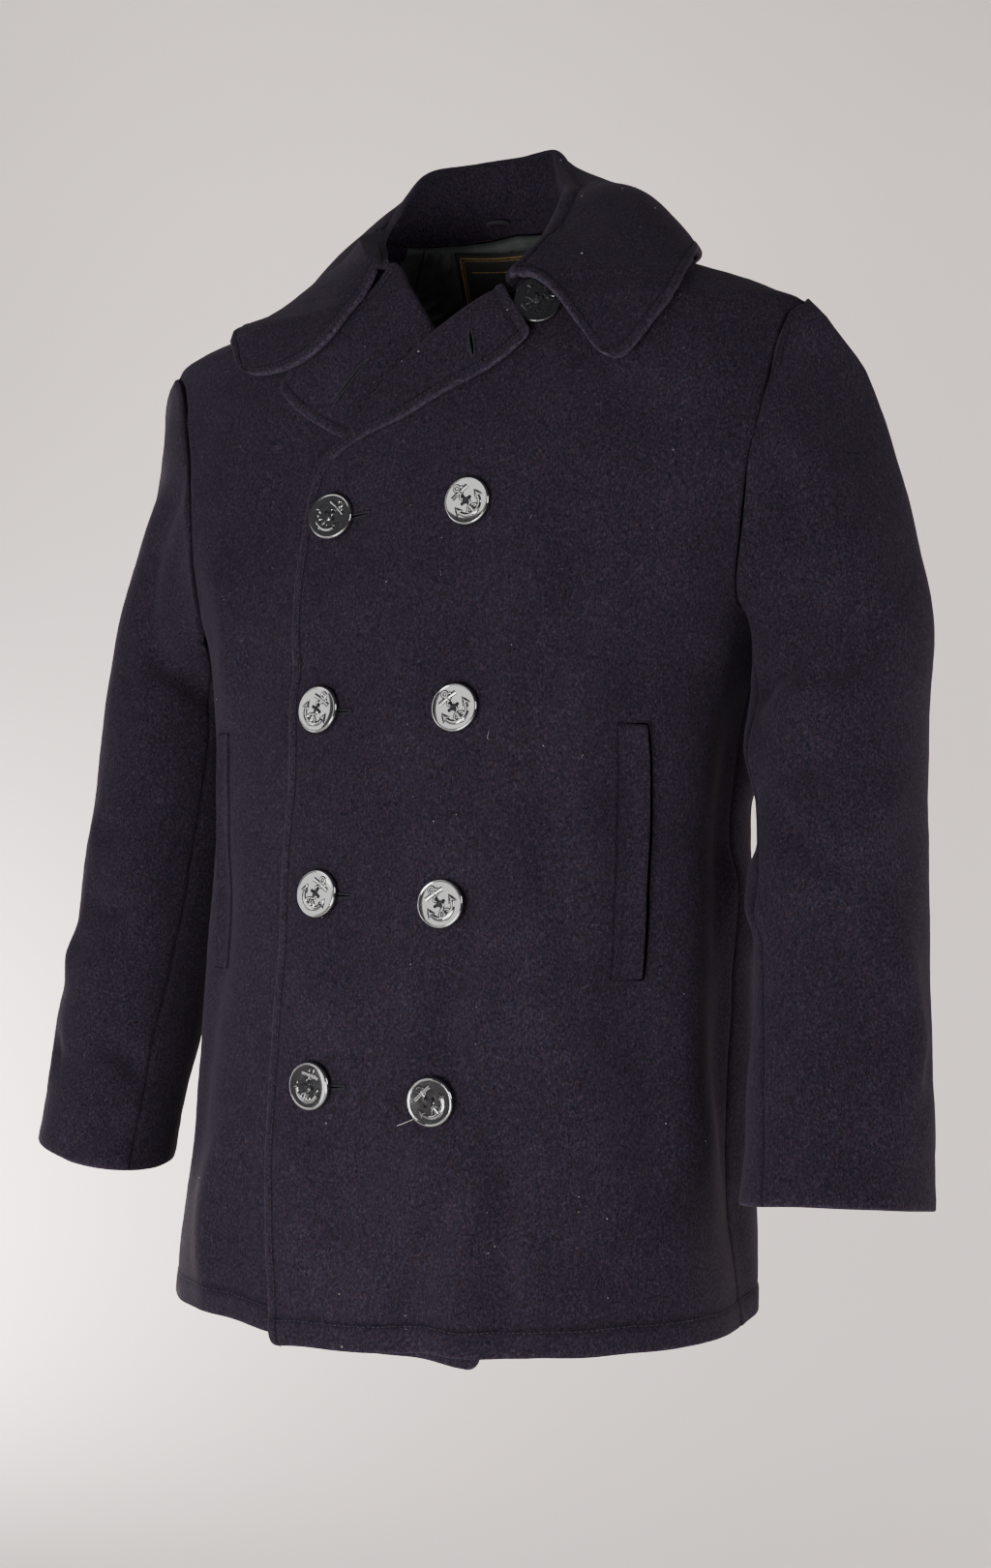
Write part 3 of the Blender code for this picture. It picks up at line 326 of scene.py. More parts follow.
# Waves of unevenness: size, random seed
STRAY_WAVES = ((0.060, 31), (0.060, 37), (0.060, 41))
HEM_WAVE = (0.065, 43)
SWELL_WAVE = (0.075, 3)
GRAIN_WAVE = (0.011, 5)
EDGE_WAVE = (0.016, 11)
LINING_WAVE = (0.012, 21)
GATHER_WAVE = (0.05, 23)
WELT_CLOTH = 0.0022
WELT_OUT = 3 * GAP + WELT_THICKNESS - 0.0008
WELT_STEP = 0.002
WELT_GAPE = 0.0026
GAPE_BAND = (0.30, 1.0)
GAPE_ENDS = (0.35, math.pi - 0.35)
RIGHT_WELT_FLATTER = 0.0011
MOUTH_OUT = 0.0009
MOUTH_CLOTH = 0.0006
MOUTH_BOW = 0.17
MOUTH_COLUMNS = 12
MOUTH_ENDS = (0.25, math.pi - 0.05)
MOUTH_ROUNDNESS = 0.6
SIDES = ("left", "right", "bottom", "top")
EDGES = {
    # kind: ridges in its relief and in its tone, each with its distance in, half width and rise; a rising
    # tone ridge paints the edge lighter, worn nap with a painted highlight, and a sinking one paints shade
    # into seams, stitch grooves and welt edges
    "turned": (
        ((0.0033, 0.0024, 0.00050), (STITCH_IN, 0.0013, -0.00055)),
        ((0.0, 0.0014, 0.75), (0.0040, 0.0020, 0.12), (STITCH_IN, 0.0012, -0.35)),
    ),
    "hem": (
        ((HEM_STITCH, 0.0020, -0.00070), (0.009, 0.006, 0.0004)),
        ((0.0, 0.0020, 0.35), (HEM_STITCH, 0.0022, -0.4)),
    ),
    "seam": (((0.0, 0.0018, -0.00075), (0.0050, 0.0028, 0.00025)), ((0.0, 0.0016, -0.35),)),
    "armhole": (((0.0, 0.0018, -0.0006), (0.0060, 0.0035, 0.0005)), ((0.0, 0.0016, -0.35),)),
    "welt": (((0.0, 0.0013, -0.0006), (0.0028, 0.0016, 0.0002)), ((0.0, 0.0016, -0.35),)),
    "cuff": (((0.0060, 0.0050, 0.0005), (0.0320, 0.0040, -0.0003)), ((0.0, 0.0022, 0.5),)),
    "plain": ((), ()),
}
QUILT_SIZE = 0.026
QUILT_DEPTH = 0.0016
QUILT_PUFF = 0.45
GATHER_PITCH = 0.0085
GATHER_DEPTH = 0.0008
GATHER_SWAY = 1.5
GATHER_LENGTH = 0.040
LINING_COLUMNS = 170
LINING_ROWS = 60
LINING_CREASE = 0.0004
LINING_LIFT = 0.0004
LABEL_ROWS = 26
LABEL_COLUMNS = 44
LABEL_BORDERS = ((0.0035, 0.00045), (0.0052, 0.00022))
LABEL_STRIPE_ROWS = (9, 18)
LABEL_STRIPE = (0.0003, 0.0002)
LABEL_MARGIN = 5
LABEL_SHARES = np.linspace(1.2, 2.8, 321)
GOLD_OUT = 0.0002
LOOP_TWIST = 7.0
LOOP_POINTS = 49
STRAND_PLACE = 0.48
STRAND_SIZE = 0.55
UP = np.array([0.0, 0.0, 1.0])

# Folds: every rise below is multiplied by FOLD_DEPTH; a fold starts and ends over shares of its length,
# and the body's folds fade towards the neck. Shares and columns turn into metres of cloth.
FOLD_DEPTH = 2.0
FOLD_START = (-0.12, 0.25)
FOLD_END = (0.70, 1.15)
FOLD_TOP_BAND = (-0.06, -0.16)
GIRTH_SHARE = 0.235
COLUMN_METRES = 0.0132

# Soft folds of the body: from a share and height to another, half width, height (a trough is negative).
FOLDS = (
    # share, height, share, height, half_width, rise
    (0.275, -0.440, 0.235, -0.500, 0.010, -0.0030),
    (0.235, -0.490, 0.195, -0.570, 0.010, -0.0028),
    (0.360, -0.220, 0.300, -0.400, 0.011, 0.0026),
    (0.470, -0.220, 0.420, -0.330, 0.011, -0.0028),
    (0.400, -0.400, 0.385, -0.560, 0.014, 0.0030),
    (0.320, -0.400, 0.255, -0.560, 0.012, 0.0018),
    (0.355, -0.580, 0.345, -0.665, 0.010, -0.0032),
    (0.165, -0.600, 0.165, -0.690, 0.011, 0.0026),
    (0.215, -0.640, 0.130, -0.742, 0.011, -0.0036),
    (0.300, -0.620, 0.240, -0.742, 0.012, 0.0030),
    (0.440, -0.640, 0.360, -0.740, 0.011, 0.0026),
    (0.380, -0.620, 0.330, -0.740, 0.010, -0.0026),
    (0.505, -0.270, 0.495, -0.600, 0.016, 0.0026),
    (0.640, -0.520, 0.650, -0.735, 0.018, -0.0034),
    (0.800, -0.300, 0.830, -0.740, 0.030, 0.0044),
    (0.940, -0.290, 0.990, -0.735, 0.024, -0.0062),
    (1.060, -0.300, 1.060, -0.395, 0.022, 0.0030),
    (1.050, -0.435, 1.050, -0.500, 0.020, 0.0026),
    (0.700, -0.240, 0.520, -0.330, 0.016, 0.0024),
    (0.780, -0.300, 0.600, -0.345, 0.012, -0.0026),
    (0.560, -0.120, 0.600, -0.250, 0.018, -0.0024),
    (0.460, -0.130, 0.450, -0.240, 0.014, 0.0014),
    (0.100, -0.235, 0.060, -0.330, 0.012, 0.0016),
    (0.060, -0.360, 0.010, -0.450, 0.011, -0.0018),
    (0.010, -0.590, -0.060, -0.700, 0.012, -0.0022),
    (-0.120, -0.250, -0.330, -0.330, 0.015, -0.0022),
    (-0.640, -0.230, -0.500, -0.330, 0.016, 0.0024),
    (-0.600, -0.420, -0.560, -0.660, 0.018, -0.0030),
    (-0.830, -0.380, -0.880, -0.720, 0.018, -0.0036),
    (-0.430, -0.600, -0.470, -0.738, 0.014, 0.0026),
    (1.280, -0.180, 1.420, -0.420, 0.018, -0.0038),
    (1.500, -0.260, 1.560, -0.560, 0.022, 0.0032),
    (1.720, -0.350, 1.700, -0.700, 0.018, -0.0034),
    (1.930, -0.240, 1.880, -0.640, 0.022, -0.0028),
    (1.820, -0.480, 1.800, -0.728, 0.018, 0.0028),
    (-1.300, -0.190, -1.450, -0.400, 0.018, -0.0038),
    (-1.560, -0.300, -1.520, -0.640, 0.020, 0.0034),
    (-1.760, -0.240, -1.730, -0.520, 0.018, -0.0028),
    (-1.850, -0.480, -1.900, -0.728, 0.018, 0.0028),
    (1.350, -0.520, 1.300, -0.730, 0.018, 0.0030),
    (-1.250, -0.500, -1.200, -0.728, 0.018, -0.0032),
)
# The sleeves' creases: wearer's left (1) or right (-1), then columns round the arm and heights.
SLEEVE_FOLDS = (
    # side, column, height, column, height, half_width, rise
    (1, 3.0, -0.290, 6.5, -0.330, 0.009, -0.0030),
    (1, 2.0, -0.400, 6.0, -0.430, 0.013, 0.0024),
    (1, 4.5, -0.440, 9.0, -0.415, 0.010, -0.0034),
    (1, 4.0, -0.360, 8.0, -0.385, 0.009, -0.0022),
    (1, 7.0, -0.300, 10.6, -0.345, 0.010, -0.0040),
    (1, 12.2, -0.300, 12.2, -0.392, 0.020, 0.0036),
    (1, 12.2, -0.432, 12.2, -0.480, 0.018, 0.0030),
    (1, 5.5, -0.150, 7.0, -0.300, 0.012, -0.0026),
    (1, 3.2, -0.460, 3.6, -0.600, 0.013, 0.0024),
    (1, 6.0, -0.470, 6.2, -0.620, 0.013, -0.0024),
    (1, 1.0, -0.560, 5.0, -0.590, 0.012, -0.0018),
    (1, 14.0, -0.330, 19.0, -0.300, 0.012, -0.0038),
    (1, 18.0, -0.400, 24.0, -0.440, 0.014, 0.0028),
    (1, 21.0, -0.200, 20.0, -0.330, 0.012, -0.0030),
    (-1, 8.5, -0.640, 12.5, -0.618, 0.007, -0.0034),
    (-1, 9.0, -0.560, 12.5, -0.590, 0.008, -0.0030),
    (-1, 5.0, -0.420, 9.5, -0.395, 0.011, -0.0032),
    (-1, 5.5, -0.460, 9.0, -0.478, 0.010, -0.0026),
    (-1, 7.0, -0.280, 11.0, -0.330, 0.010, -0.0038),
    (-1, 4.0, -0.500, 8.5, -0.520, 0.013, 0.0028),
    (-1, 5.0, -0.570, 9.0, -0.585, 0.011, -0.0026),
    (-1, 5.0, -0.160, 6.5, -0.300, 0.012, -0.0028),
    (-1, 15.0, -0.320, 20.0, -0.290, 0.012, -0.0036),
    (-1, 19.0, -0.420, 24.5, -0.460, 0.014, 0.0028),
    (-1, 21.0, -0.220, 19.5, -0.340, 0.012, -0.0032),
)

# Buttons and buttonholes, in millimetres where they are a button's own
BUTTON_SEGMENTS = 80
BUTTON_CLEAR = 0.0004
TILT_LIFT = 0.55
SHARP_ANGLE = math.radians(24)
BUTTON_FACE = 3.55
BUTTON_PROFILE = (
    # radius, height off the cloth
    (0.0, 0.0), (14.0, 0.0), (15.0, 0.4), (15.45, 1.1), (15.5, 2.0), (15.35, 2.8), (15.0, 3.35), (14.7, 3.6),
    (14.35, 3.72), (14.0, 3.70), (13.75, 3.58), (13.5, BUTTON_FACE), (8.0, BUTTON_FACE), (0.0, BUTTON_FACE),
)
HOLES = ((3.3, 0.0), (0.0, 3.3), (-3.3, 0.0), (0.0, -3.3))
HOLE_RADIUS = 1.12
HOLE_TAPER = (-0.1, 0.15)
HOLE_SEGMENTS = 20
CUTTER_DEPTH = 0.006
CUTTER_MIDDLE = 0.0024
HOLE_PLUG = (-0.0012, 0.0004, 0.0024)
PLUG_RADIUS = 0.0008
THREAD_RADIUS = 0.00036
THREAD_POINTS = 24
THREAD_ENDS = ((3.1, 1.4), (3.1, 3.2))
THREAD_SHOULDER = 2.5
THREADS = (
    # turn in degrees, place aside, height of its middle
    (90, -0.55, 4.05),
    (90, 0.0, 4.25),
    (90, 0.55, 4.05),
    (0, -0.5, 4.45),
    (0, 0.1, 4.65),
    (0, 0.6, 4.4),
)
# Width of the painted shade line round the foot of each anchor part, in millimetres
ANCHOR_SHADE_LINE = 0.42
ANCHOR_RISE = 0.55
ROPE_RISE = 0.40
ROPE_HALF_WIDTH = 0.66
RING_PLACE = 10.2
RING_RADIUS = 1.8
RING_HALF_WIDTH = 0.70
RING_POINTS = 22
FLUKE_SLOPE = 1.4
FLUKE_TOP = 0.25
RIDGE_PITCH = 0.4
RIDGE_SECTION = (
    # share of the half width, painted shade line beyond it, share of the rise
    (-1.0, ANCHOR_SHADE_LINE, 0.0), (-1.0, 0.0, 0.0), (-0.74, 0.0, 0.62), (-0.34, 0.0, 0.96),
    (0.34, 0.0, 0.96), (0.74, 0.0, 0.62), (1.0, 0.0, 0.0), (1.0, ANCHOR_SHADE_LINE, 0.0),
)
PLATE_SECTION = ((-ANCHOR_SHADE_LINE, 0.0), (0.0, 0.0), (0.45, 0.62), (0.95, 0.96))
SHANK_AND_STOCK = (
    # points, half widths
    (((0, 8.6), (0, 7.0), (0, 4.7)), (1.1, 1.15, 1.25)),
    (((0, 2.0), (0, 0.0), (0, -2.0)), 1.2),
    (((0, -4.7), (0, -6.8), (0, -9.4)), (1.25, 1.35, 1.6)),
    (((-6.6, 6.9), (-2.5, 7.1), (2.5, 7.1), (6.6, 6.9)), (1.20, 1.05, 1.05, 1.20)),
)
ARM = ((0, -9.3), (3.2, -8.9), (6.2, -6.9), (8.0, -3.6))
ARM_HALF_WIDTHS = (1.5, 1.35, 1.2, 1.05)
FLUKE = ((8.3, 1.6), (9.6, -1.0), (10.9, -4.2), (8.6, -3.2), (5.6, -3.4), (7.2, -0.9))
ROPE = (
    (1.9, 9.2), (3.4, 8.6), (3.2, 7.6), (1.2, 5.6), (-1.4, 4.6), (-1.9, 3.0), (0.4, 1.2), (1.8, -1.0),
    (0.9, -3.2), (-1.8, -4.6), (-3.4, -6.4), (-3.0, -8.8), (-0.6, -10.6), (2.2, -10.2), (3.6, -8.0),
    (3.0, -5.8), (1.2, -5.0),
)
HOLE_LIP = 0.0005
HOLE_PITCH = 0.0012
LIP_LIFT = 0.0002
LIP_SIZE = (0.00055, 0.0004)
SLIT_SHARE = 0.9
SLIT_LIFT = 0.00025
WRAP_RADIUS = 0.00026
WRAP_PITCH = 0.0010
WRAP_COURSE = ((-0.0004, 0.0003), (0.0003, 0.0007), (0.0011, 0.0002))

# Noises of the finishes: scale for a metre, detail, roughness
FIBRE_NOISE = (980.0, 3.0, 0.70)
SPECK_NOISE = (560.0, 3.0, 0.65)
PATCH_NOISE = (16.0, 4.0, 0.60)
HUE_NOISE = (420.0, 3.0, 0.70)
SATIN_TONE = (60.0, 3.0, 0.6)
SATIN_GRAIN = (260.0, 2.0, 0.5)
THREAD_TONE = (1400.0, 2.0, 0.6)
THREAD_GRAIN = (1800.0, 2.0, 0.5)
SCUFF_NOISE = (700.0, 4.0, 0.6)
HANDLED_NOISE = (160.0, 4.0, 0.7)
PAPER_TONE = (1.3, 2.0, 0.5)

# Colours: red, green, blue
WOOL_STOPS = (0.38, 0.52, 0.68, 0.95)
WARM_TONES = (
    (0.0045, 0.0026, 0.0048), (0.0150, 0.0096, 0.0150), (0.0410, 0.0280, 0.0420), (0.0900, 0.0750, 0.1050),
)
COOL_TONES = (
    (0.0032, 0.0028, 0.0060), (0.0118, 0.0095, 0.0180), (0.0330, 0.0285, 0.0490), (0.0750, 0.0800, 0.1250),
)
# How strongly the edges' tone shows: worn nap with a painted highlight at the edges, painted shade in seams
# and stitch grooves
WEAR_AND_PAINTED_LIGHT_TONE = 0.30
SATIN_DARK = (0.0170, 0.0195, 0.0195)
SATIN_LIGHT = (0.0480, 0.0530, 0.0520)
SHADOW = (0.0012, 0.0012, 0.0016)
PLASTIC_DARK = (0.006, 0.006, 0.008)
PLASTIC_LIGHT = (0.016, 0.015, 0.018)
THREAD = (0.0050, 0.0040, 0.0075)
GOLD = (0.2600, 0.1500, 0.0350)
LINT = (0.2600, 0.2500, 0.2350)

# ---------------------------------------------------------------- curves and grids


def smooth_table(keys, values, wanted):
    """The table's columns at the wanted keys, on a smooth curve through its rows that never overshoots."""
    rise = np.diff(values, axis=0) / np.diff(keys)[:, None]
    product = rise[:-1] * rise[1:]
    inner = np.where(product > 0.0, 2.0 * product / (rise[:-1] + rise[1:] + TINY), 0.0)
    slope = np.vstack([rise[:1], inner, rise[-1:]])
    index = np.clip(np.searchsorted(keys, wanted, side="right") - 1, 0, len(keys) - 2)
    step = (keys[index + 1] - keys[index])[:, None]
    part = (wanted[:, None] - keys[index][:, None]) / step
    rise_here, rise_there = slope[index] * step, slope[index + 1] * step
    return (
        values[index] * (2 * part**3 - 3 * part**2 + 1)
        + rise_here * (part**3 - 2 * part**2 + part)
        + values[index + 1] * (3 * part**2 - 2 * part**3)
        + rise_there * (part**3 - part**2)
    )


def by_row(table, places):
    table = np.array(table, float)
    return smooth_table(np.arange(len(table), dtype=float), table, places)


def by_height(table, heights):
    """A table's columns at these heights; its rows run downwards and start with their height."""
    table = np.array(table)[::-1]
    return smooth_table(table[:, 0], table[:, 1:], heights)


def through(rows, count):
    """count points on a smooth curve through the rows, evenly by row number."""
    rows = np.array(rows, float)
    place = np.linspace(0.0, len(rows) - 1.0, count)
    padded = np.vstack([2 * rows[0] - rows[1], rows, 2 * rows[-1] - rows[-2]])
    index = np.clip(place.astype(int), 0, len(rows) - 2)
    part = (place - index)[:, None]
    a, b, c, d = (padded[index + k] for k in range(4))
    return b + 0.5 * part * (c - a + part * (2 * a - 5 * b + 4 * c - d + part * (3 * (b - c) + d - a)))


def ease(low, high, value):
    part = np.clip((value - low) / (high - low), 0.0, 1.0)
    return part * part * (3.0 - 2.0 * part)


def unit(vectors):
    return vectors / np.maximum(np.linalg.norm(vectors, axis=-1, keepdims=True), TINY)


def directions(path, closed=False):
    return unit(np.roll(path, -1, axis=0) - np.roll(path, 1, axis=0) if closed else np.gradient(path, axis=0))


def walked_along(line):
    """Metres walked along a line of points, at each of them."""
    return np.append(0.0, np.cumsum(np.linalg.norm(np.diff(line, axis=0), axis=1)))


def read_at(wanted, keys, rows):
    """The rows' values at the wanted keys, straight between the given ones."""
    return np.stack([np.interp(wanted, keys, rows[:, k]) for k in range(rows.shape[1])], -1)


def resample(points, normals, pitch):
    walked = walked_along(points)
    place = np.linspace(0.0, walked[-1], max(int(walked[-1] / pitch), 2))
    return read_at(place, walked, points), unit(read_at(place, walked, normals))


def sample(grid, rows, columns):
    """A grid's values at rows and columns that need not be whole numbers."""
    i, j = np.minimum(rows.astype(int), grid.shape[0] - 2), np.minimum(columns.astype(int), grid.shape[1] - 2)
    v, u = (rows - i)[..., None], (columns - j)[..., None]
    below = grid[i, j] * (1 - u) + grid[i, j + 1] * u
    return below * (1 - v) + (grid[i + 1, j] * (1 - u) + grid[i + 1, j + 1] * u) * v


def quads_of(index):
    """The faces between the numbered points of a grid."""
    return np.stack([index[:-1, :-1], index[:-1, 1:], index[1:, 1:], index[1:, :-1]], -1).reshape(-1, 4)


def sheet_normals(points):
    return unit(np.cross(np.gradient(points, axis=1), np.gradient(points, axis=0)))


def walk(points, axis):
    """Metres walked along an axis of a sheet, from its start and from its end."""
    length = np.linalg.norm(np.diff(points, axis=axis), axis=-1)
    walked = np.insert(np.cumsum(length, axis=axis), 0, 0.0, axis=axis)
    return walked, walked.take([-1], axis=axis) - walked


def distances_of(sheet):
    return dict(zip(SIDES, (*walk(sheet, 1), *walk(sheet, 0))))


def uneven(points, size, seed):
    """A soft unevenness from -1 to 1 through space, the same for every piece that passes there."""
    rng = np.random.RandomState(seed)
    total = np.zeros(points.shape[:-1])
    for _ in range(9):
        wave = rng.normal(size=3)
        wave *= 2 * math.pi / (np.linalg.norm(wave) * size * rng.uniform(0.7, 1.6))
        total += np.sin(points @ wave + rng.uniform(0, 2 * math.pi))
    return total / 4.0


def wander(points):
    """How far the cloth strays from its pattern: a little everywhere, more along the hem."""
    move = np.stack([uneven(points, *wave) for wave in STRAY_WAVES], -1) * STRAY
    move[..., 2] += uneven(points, *HEM_WAVE) * HEM_STRAY * ease(*HEM_STRAY_BAND, points[..., 2])
    return move


def swell(points, normals, soft=1.0):
    """The points with a slow unevenness of the cloth along their normals."""
    return points + normals * (uneven(points, *SWELL_WAVE) * SWELL * soft)[..., None]


def fold_height(across, up, folds):
    """The height of a set of folds at places given in metres across and up the cloth."""
    total = np.zeros(np.broadcast(across, up).shape)
    for a0, u0, a1, u1, half_width, rise in folds:
        long = math.hypot(a1 - a0, u1 - u0)
        ta, tu = (a1 - a0) / long, (u1 - u0) / long
        da = (across - a0 + 2 * GIRTH_SHARE) % (4 * GIRTH_SHARE) - 2 * GIRTH_SHARE
        along = (da * ta + (up - u0) * tu) / long
        sway = half_width * 0.5 * np.sin(along * 5.0 + a0 * 40.0)
        off = da * tu - (up - u0) * ta + sway
        ends = ease(*FOLD_START, along) * (1.0 - ease(*FOLD_END, along))
        total = total + rise * FOLD_DEPTH * np.exp(-((off / half_width) ** 2)) * ends
    return total


def folds_across(table, metres):
    """A table's folds with their places across turned into metres."""
    return [(a0 * metres, h0, a1 * metres, h1, w, d) for a0, h0, a1, h1, w, d in table]


BODY_FOLDS = folds_across(FOLDS, GIRTH_SHARE)

# ---------------------------------------------------------------- the worn form


class Form:
    """The worn surface. A place on it is a share of the half girth, 0 at the centre front, 1 at the side
    and 2 at the centre back, negative on the wearer's right, and a height."""

    def __init__(self):
        count = int(round((NECK_LOW - FORM_LOW) / LEVEL_STEP)) + 1
        self.levels = np.linspace(FORM_LOW, NECK_LOW, count)
        sections = by_height(FORM_SECTIONS, np.clip(self.levels, HEM, NECK_LOW))
        self.shift = sections[:, 5]
        self.shares = np.linspace(0.0, 2.0, COLUMN_COUNT)
        angles = np.linspace(0.0, math.pi, 2 * QUARTER + 1)
        self.grid = np.empty((count, COLUMN_COUNT, 2))
        self.half_girth = np.empty(count)
        for row, (half_width, middle, front, back, exponent, _) in enumerate(sections):
            power = 2.0 / exponent
            depth = np.where(angles < math.pi / 2, middle - front, back - middle)
            x = half_width * np.abs(np.sin(angles)) ** power
            y = middle - np.sign(np.cos(angles)) * depth * np.abs(np.cos(angles)) ** power
            walked = walked_along(np.stack([x, y], -1))
            side = walked[QUARTER]
            share = np.where(walked <= side, walked / side, 1.0 + (walked - side) / (walked[-1] - side))
            self.grid[row] = read_at(self.shares, share, np.stack([x, y], -1))
            self.half_girth[row] = side

    def flat(self, share, height):
        side = np.where(np.asarray(share) < 0.0, -1.0, 1.0)
        share = np.abs(share)
        over = share > 2.0
        side = np.where(over, -side, side)
        share = np.where(over, 4.0 - share, share)
        row = np.clip((height - FORM_LOW) / LEVEL_STEP, 0.0, len(self.levels) - 1.001)
        column = np.clip(share / 2.0 * (COLUMN_COUNT - 1), 0.0, COLUMN_COUNT - 1.001)
        found = sample(self.grid, row, column)
        return side * found[..., 0] + np.interp(height, self.levels, self.shift), found[..., 1]

    def bare(self, share, height):
        """Points on the form without folds, and its normals there."""
        share, height = np.broadcast_arrays(np.asarray(share, float), np.asarray(height, float))
        low, high = np.maximum(height - LOOK_UP, FORM_LOW), np.minimum(height + LOOK_UP, NECK_LOW)
        right, left = self.flat(share + LOOK_ROUND, height), self.flat(share - LOOK_ROUND, height)
        above, below = self.flat(share, high), self.flat(share, low)
        round_it = np.stack([right[0] - left[0], right[1] - left[1], np.zeros_like(height)], -1)
        upward = np.stack([above[0] - below[0], above[1] - below[1], high - low], -1)
        return np.stack([*self.flat(share, height), height], -1), unit(np.cross(round_it, upward))

    def points(self, share, height, out=0.0):
        """Points on the form, moved out along its normal, with the body's soft folds."""
        points, normals = self.bare(share, height)
        share = np.where(np.asarray(share) > 2.0, np.asarray(share) - 4.0, share)
        folded = fold_height(share * GIRTH_SHARE, height, BODY_FOLDS) * ease(*FOLD_TOP_BAND, height)
        return points + normals * (out + folded)[..., None]

    def normals(self, share, height):
        return self.bare(share, height)[1]

    def share_at(self, x, height):
        """The share on the front half at this x."""
        x, height = np.broadcast_arrays(np.asarray(x, float), np.asarray(height, float))
        x = x - np.interp(height, self.levels, self.shift)
        found = np.empty(x.shape)
        half = COLUMN_COUNT // 2 + 1
        for index in np.ndindex(x.shape):
            row = (height[index] - FORM_LOW) / LEVEL_STEP
            low = int(np.clip(row, 0, len(self.levels) - 2))
            part = np.clip(row - low, 0.0, 1.0)
            line = self.grid[low, :half, 0] * (1 - part) + self.grid[low + 1, :half, 0] * part
            found[index] = np.interp(abs(x[index]), line, self.shares[:half])
        return np.copysign(found, x)

    def gap_share(self, height, metres):
        return metres / np.interp(height, self.levels, self.half_girth)


FORM = Form()


def underlap(x, height):
    """How far the right front lies under the left one."""
    above = ROLL_NORMAL[0] * (x - ROLL_POINT[0]) + ROLL_NORMAL[1] * (height - ROLL_POINT[1])
    over = ease(*UNDERLAP_X_BAND, x) * (1.0 - ease(*ROLL_BAND, above))
    return over * (UNDERLAP_INSET + LAPEL_INSET * ease(*LAPEL_BAND, height))


def front_sheet(side, share, height, out=0.0):
    """Points on one half of the front: the wearer's left (1) or right (-1)."""
    if side > 0:
        return FORM.points(share, height, out)
    x = FORM.points(share, height)[..., 0]
    return FORM.points(share, height, out - underlap(x, height))


def push_out(points, clear):
    """Points moved out of the form's way, at least clear from it."""

    def depth(p):
        sections = by_height(FORM_SECTIONS, np.clip(p[:, 2], HEM, NECK_LOW))
        half_width, middle, front, back, exponent, shift = sections.T
        half_depth = np.where(p[:, 1] < middle, middle - front, back - middle)
        across, deep = np.abs(p[:, 0] - shift) / half_width, np.abs(p[:, 1] - middle) / half_depth
        return (across**exponent + deep**exponent) ** (1.0 / exponent) - 1.0

    flat = points.reshape(-1, 3).copy()
    clear = np.broadcast_to(clear, points.shape[:-1]).reshape(-1)
    for _ in range(PUSHES):
        value = depth(flat)
        slope = np.stack([(depth(flat + PROBE * axis) - value) / PROBE for axis in np.eye(3)], -1)
        size = np.linalg.norm(slope, axis=1)
        near = value / np.maximum(size, 1e-9)
        move = np.where(flat[:, 2] < FORM_TOP, np.maximum(clear - near, 0.0), 0.0)
        flat += slope / size[:, None] * move[:, None]
    return flat.reshape(points.shape)


# ---------------------------------------------------------------- objects, cloth walls and small solids


def put(name, data):
    made = bpy.data.objects.new(name, data)
    bpy.context.scene.collection.objects.link(made)
    return made


def mesh_piece(name, points, faces, finishes, indices=None):
    mesh = bpy.data.meshes.new(name)
    mesh.from_pydata(np.asarray(points).tolist(), [], faces if isinstance(faces, list) else faces.tolist())
    for finish in finishes:
        mesh.materials.append(finish)
    if indices is not None:
        mesh.polygons.foreach_set("material_index", np.asarray(indices, dtype=np.int32))
    mesh.shade_smooth()
    made = put(name, mesh)
    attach(made, "root")
    return made


def ridges(distance, table):
    """The sum of soft ridges at distances from an edge, each with its half width and rise."""
    total = np.zeros_like(distance)
    for middle, half_width, rise in table:
        total = total + rise * np.exp(-(((distance - middle) / half_width) ** 2))
    return total


def round_corners(sheet, corners):
    """The sheet with the named corners drawn in to an arc."""
    for side, end, radius in corners:
        walked = distances_of(sheet)
        a, b = (np.clip(1.0 - walked[edge] / radius, 0.0, 1.0) for edge in (side, end))
        inward = unit(np.gradient(sheet, axis=1)) * (1.0 if side == "left" else -1.0)
        rise = unit(np.gradient(sheet, axis=0)) * (1.0 if end == "bottom" else -1.0)
        move_a, move_b = a - a * np.sqrt(1.0 - b * b / 2.0), b - b * np.sqrt(1.0 - a * a / 2.0)
        sheet = sheet + (inward * move_a[..., None] + rise * move_b[..., None]) * radius
    return sheet


def edge_shapes(distances, edges, masks, thickness):
    """What the edges do to a sheet: its relief there, its tone (lighter edges, worn nap with a painted
    highlight, and painted shade in seams and stitch grooves), how far the outer and the inner face fall off,
    and where the inner face is wool beside a seam."""
    relief, wear_and_painted_light_amount, drop_out, drop_in = (np.zeros_like(distances["left"]) for _ in range(4))
    wool = np.zeros(relief.shape, bool)
    for side, kind in zip(SIDES, edges):
        distance, mask = distances[side], masks.get(side, 1.0)
        relief_ridges, wear_and_painted_light_ridges = EDGES[kind]
        shape = ridges(distance, relief_ridges)
        if kind == "hem":
            shape = shape + HEM_STEP * (1.0 - ease(*HEM_STEP_BAND, distance))
        relief = relief + shape * mask
        wear_and_painted_light_amount = wear_and_painted_light_amount + ridges(distance, wear_and_painted_light_ridges) * mask
        sewn = kind in ("seam", "armhole")
        radius = SEAM_RADIUS if sewn else thickness * EDGE_ROUNDNESS
        near = np.clip(1.0 - distance / radius, 0.0, 1.0)
        fall = radius * (1.0 - np.sqrt(1.0 - near**2))
        drop_out = np.maximum(drop_out, fall)
        if sewn:
            wool = wool | (distance < SEAM_FACING)
        else:
            drop_in = np.maximum(drop_in, fall)
    return relief, wear_and_painted_light_amount, drop_out, drop_in, wool


Panel = collections.namedtuple("Panel", "made outer normal")


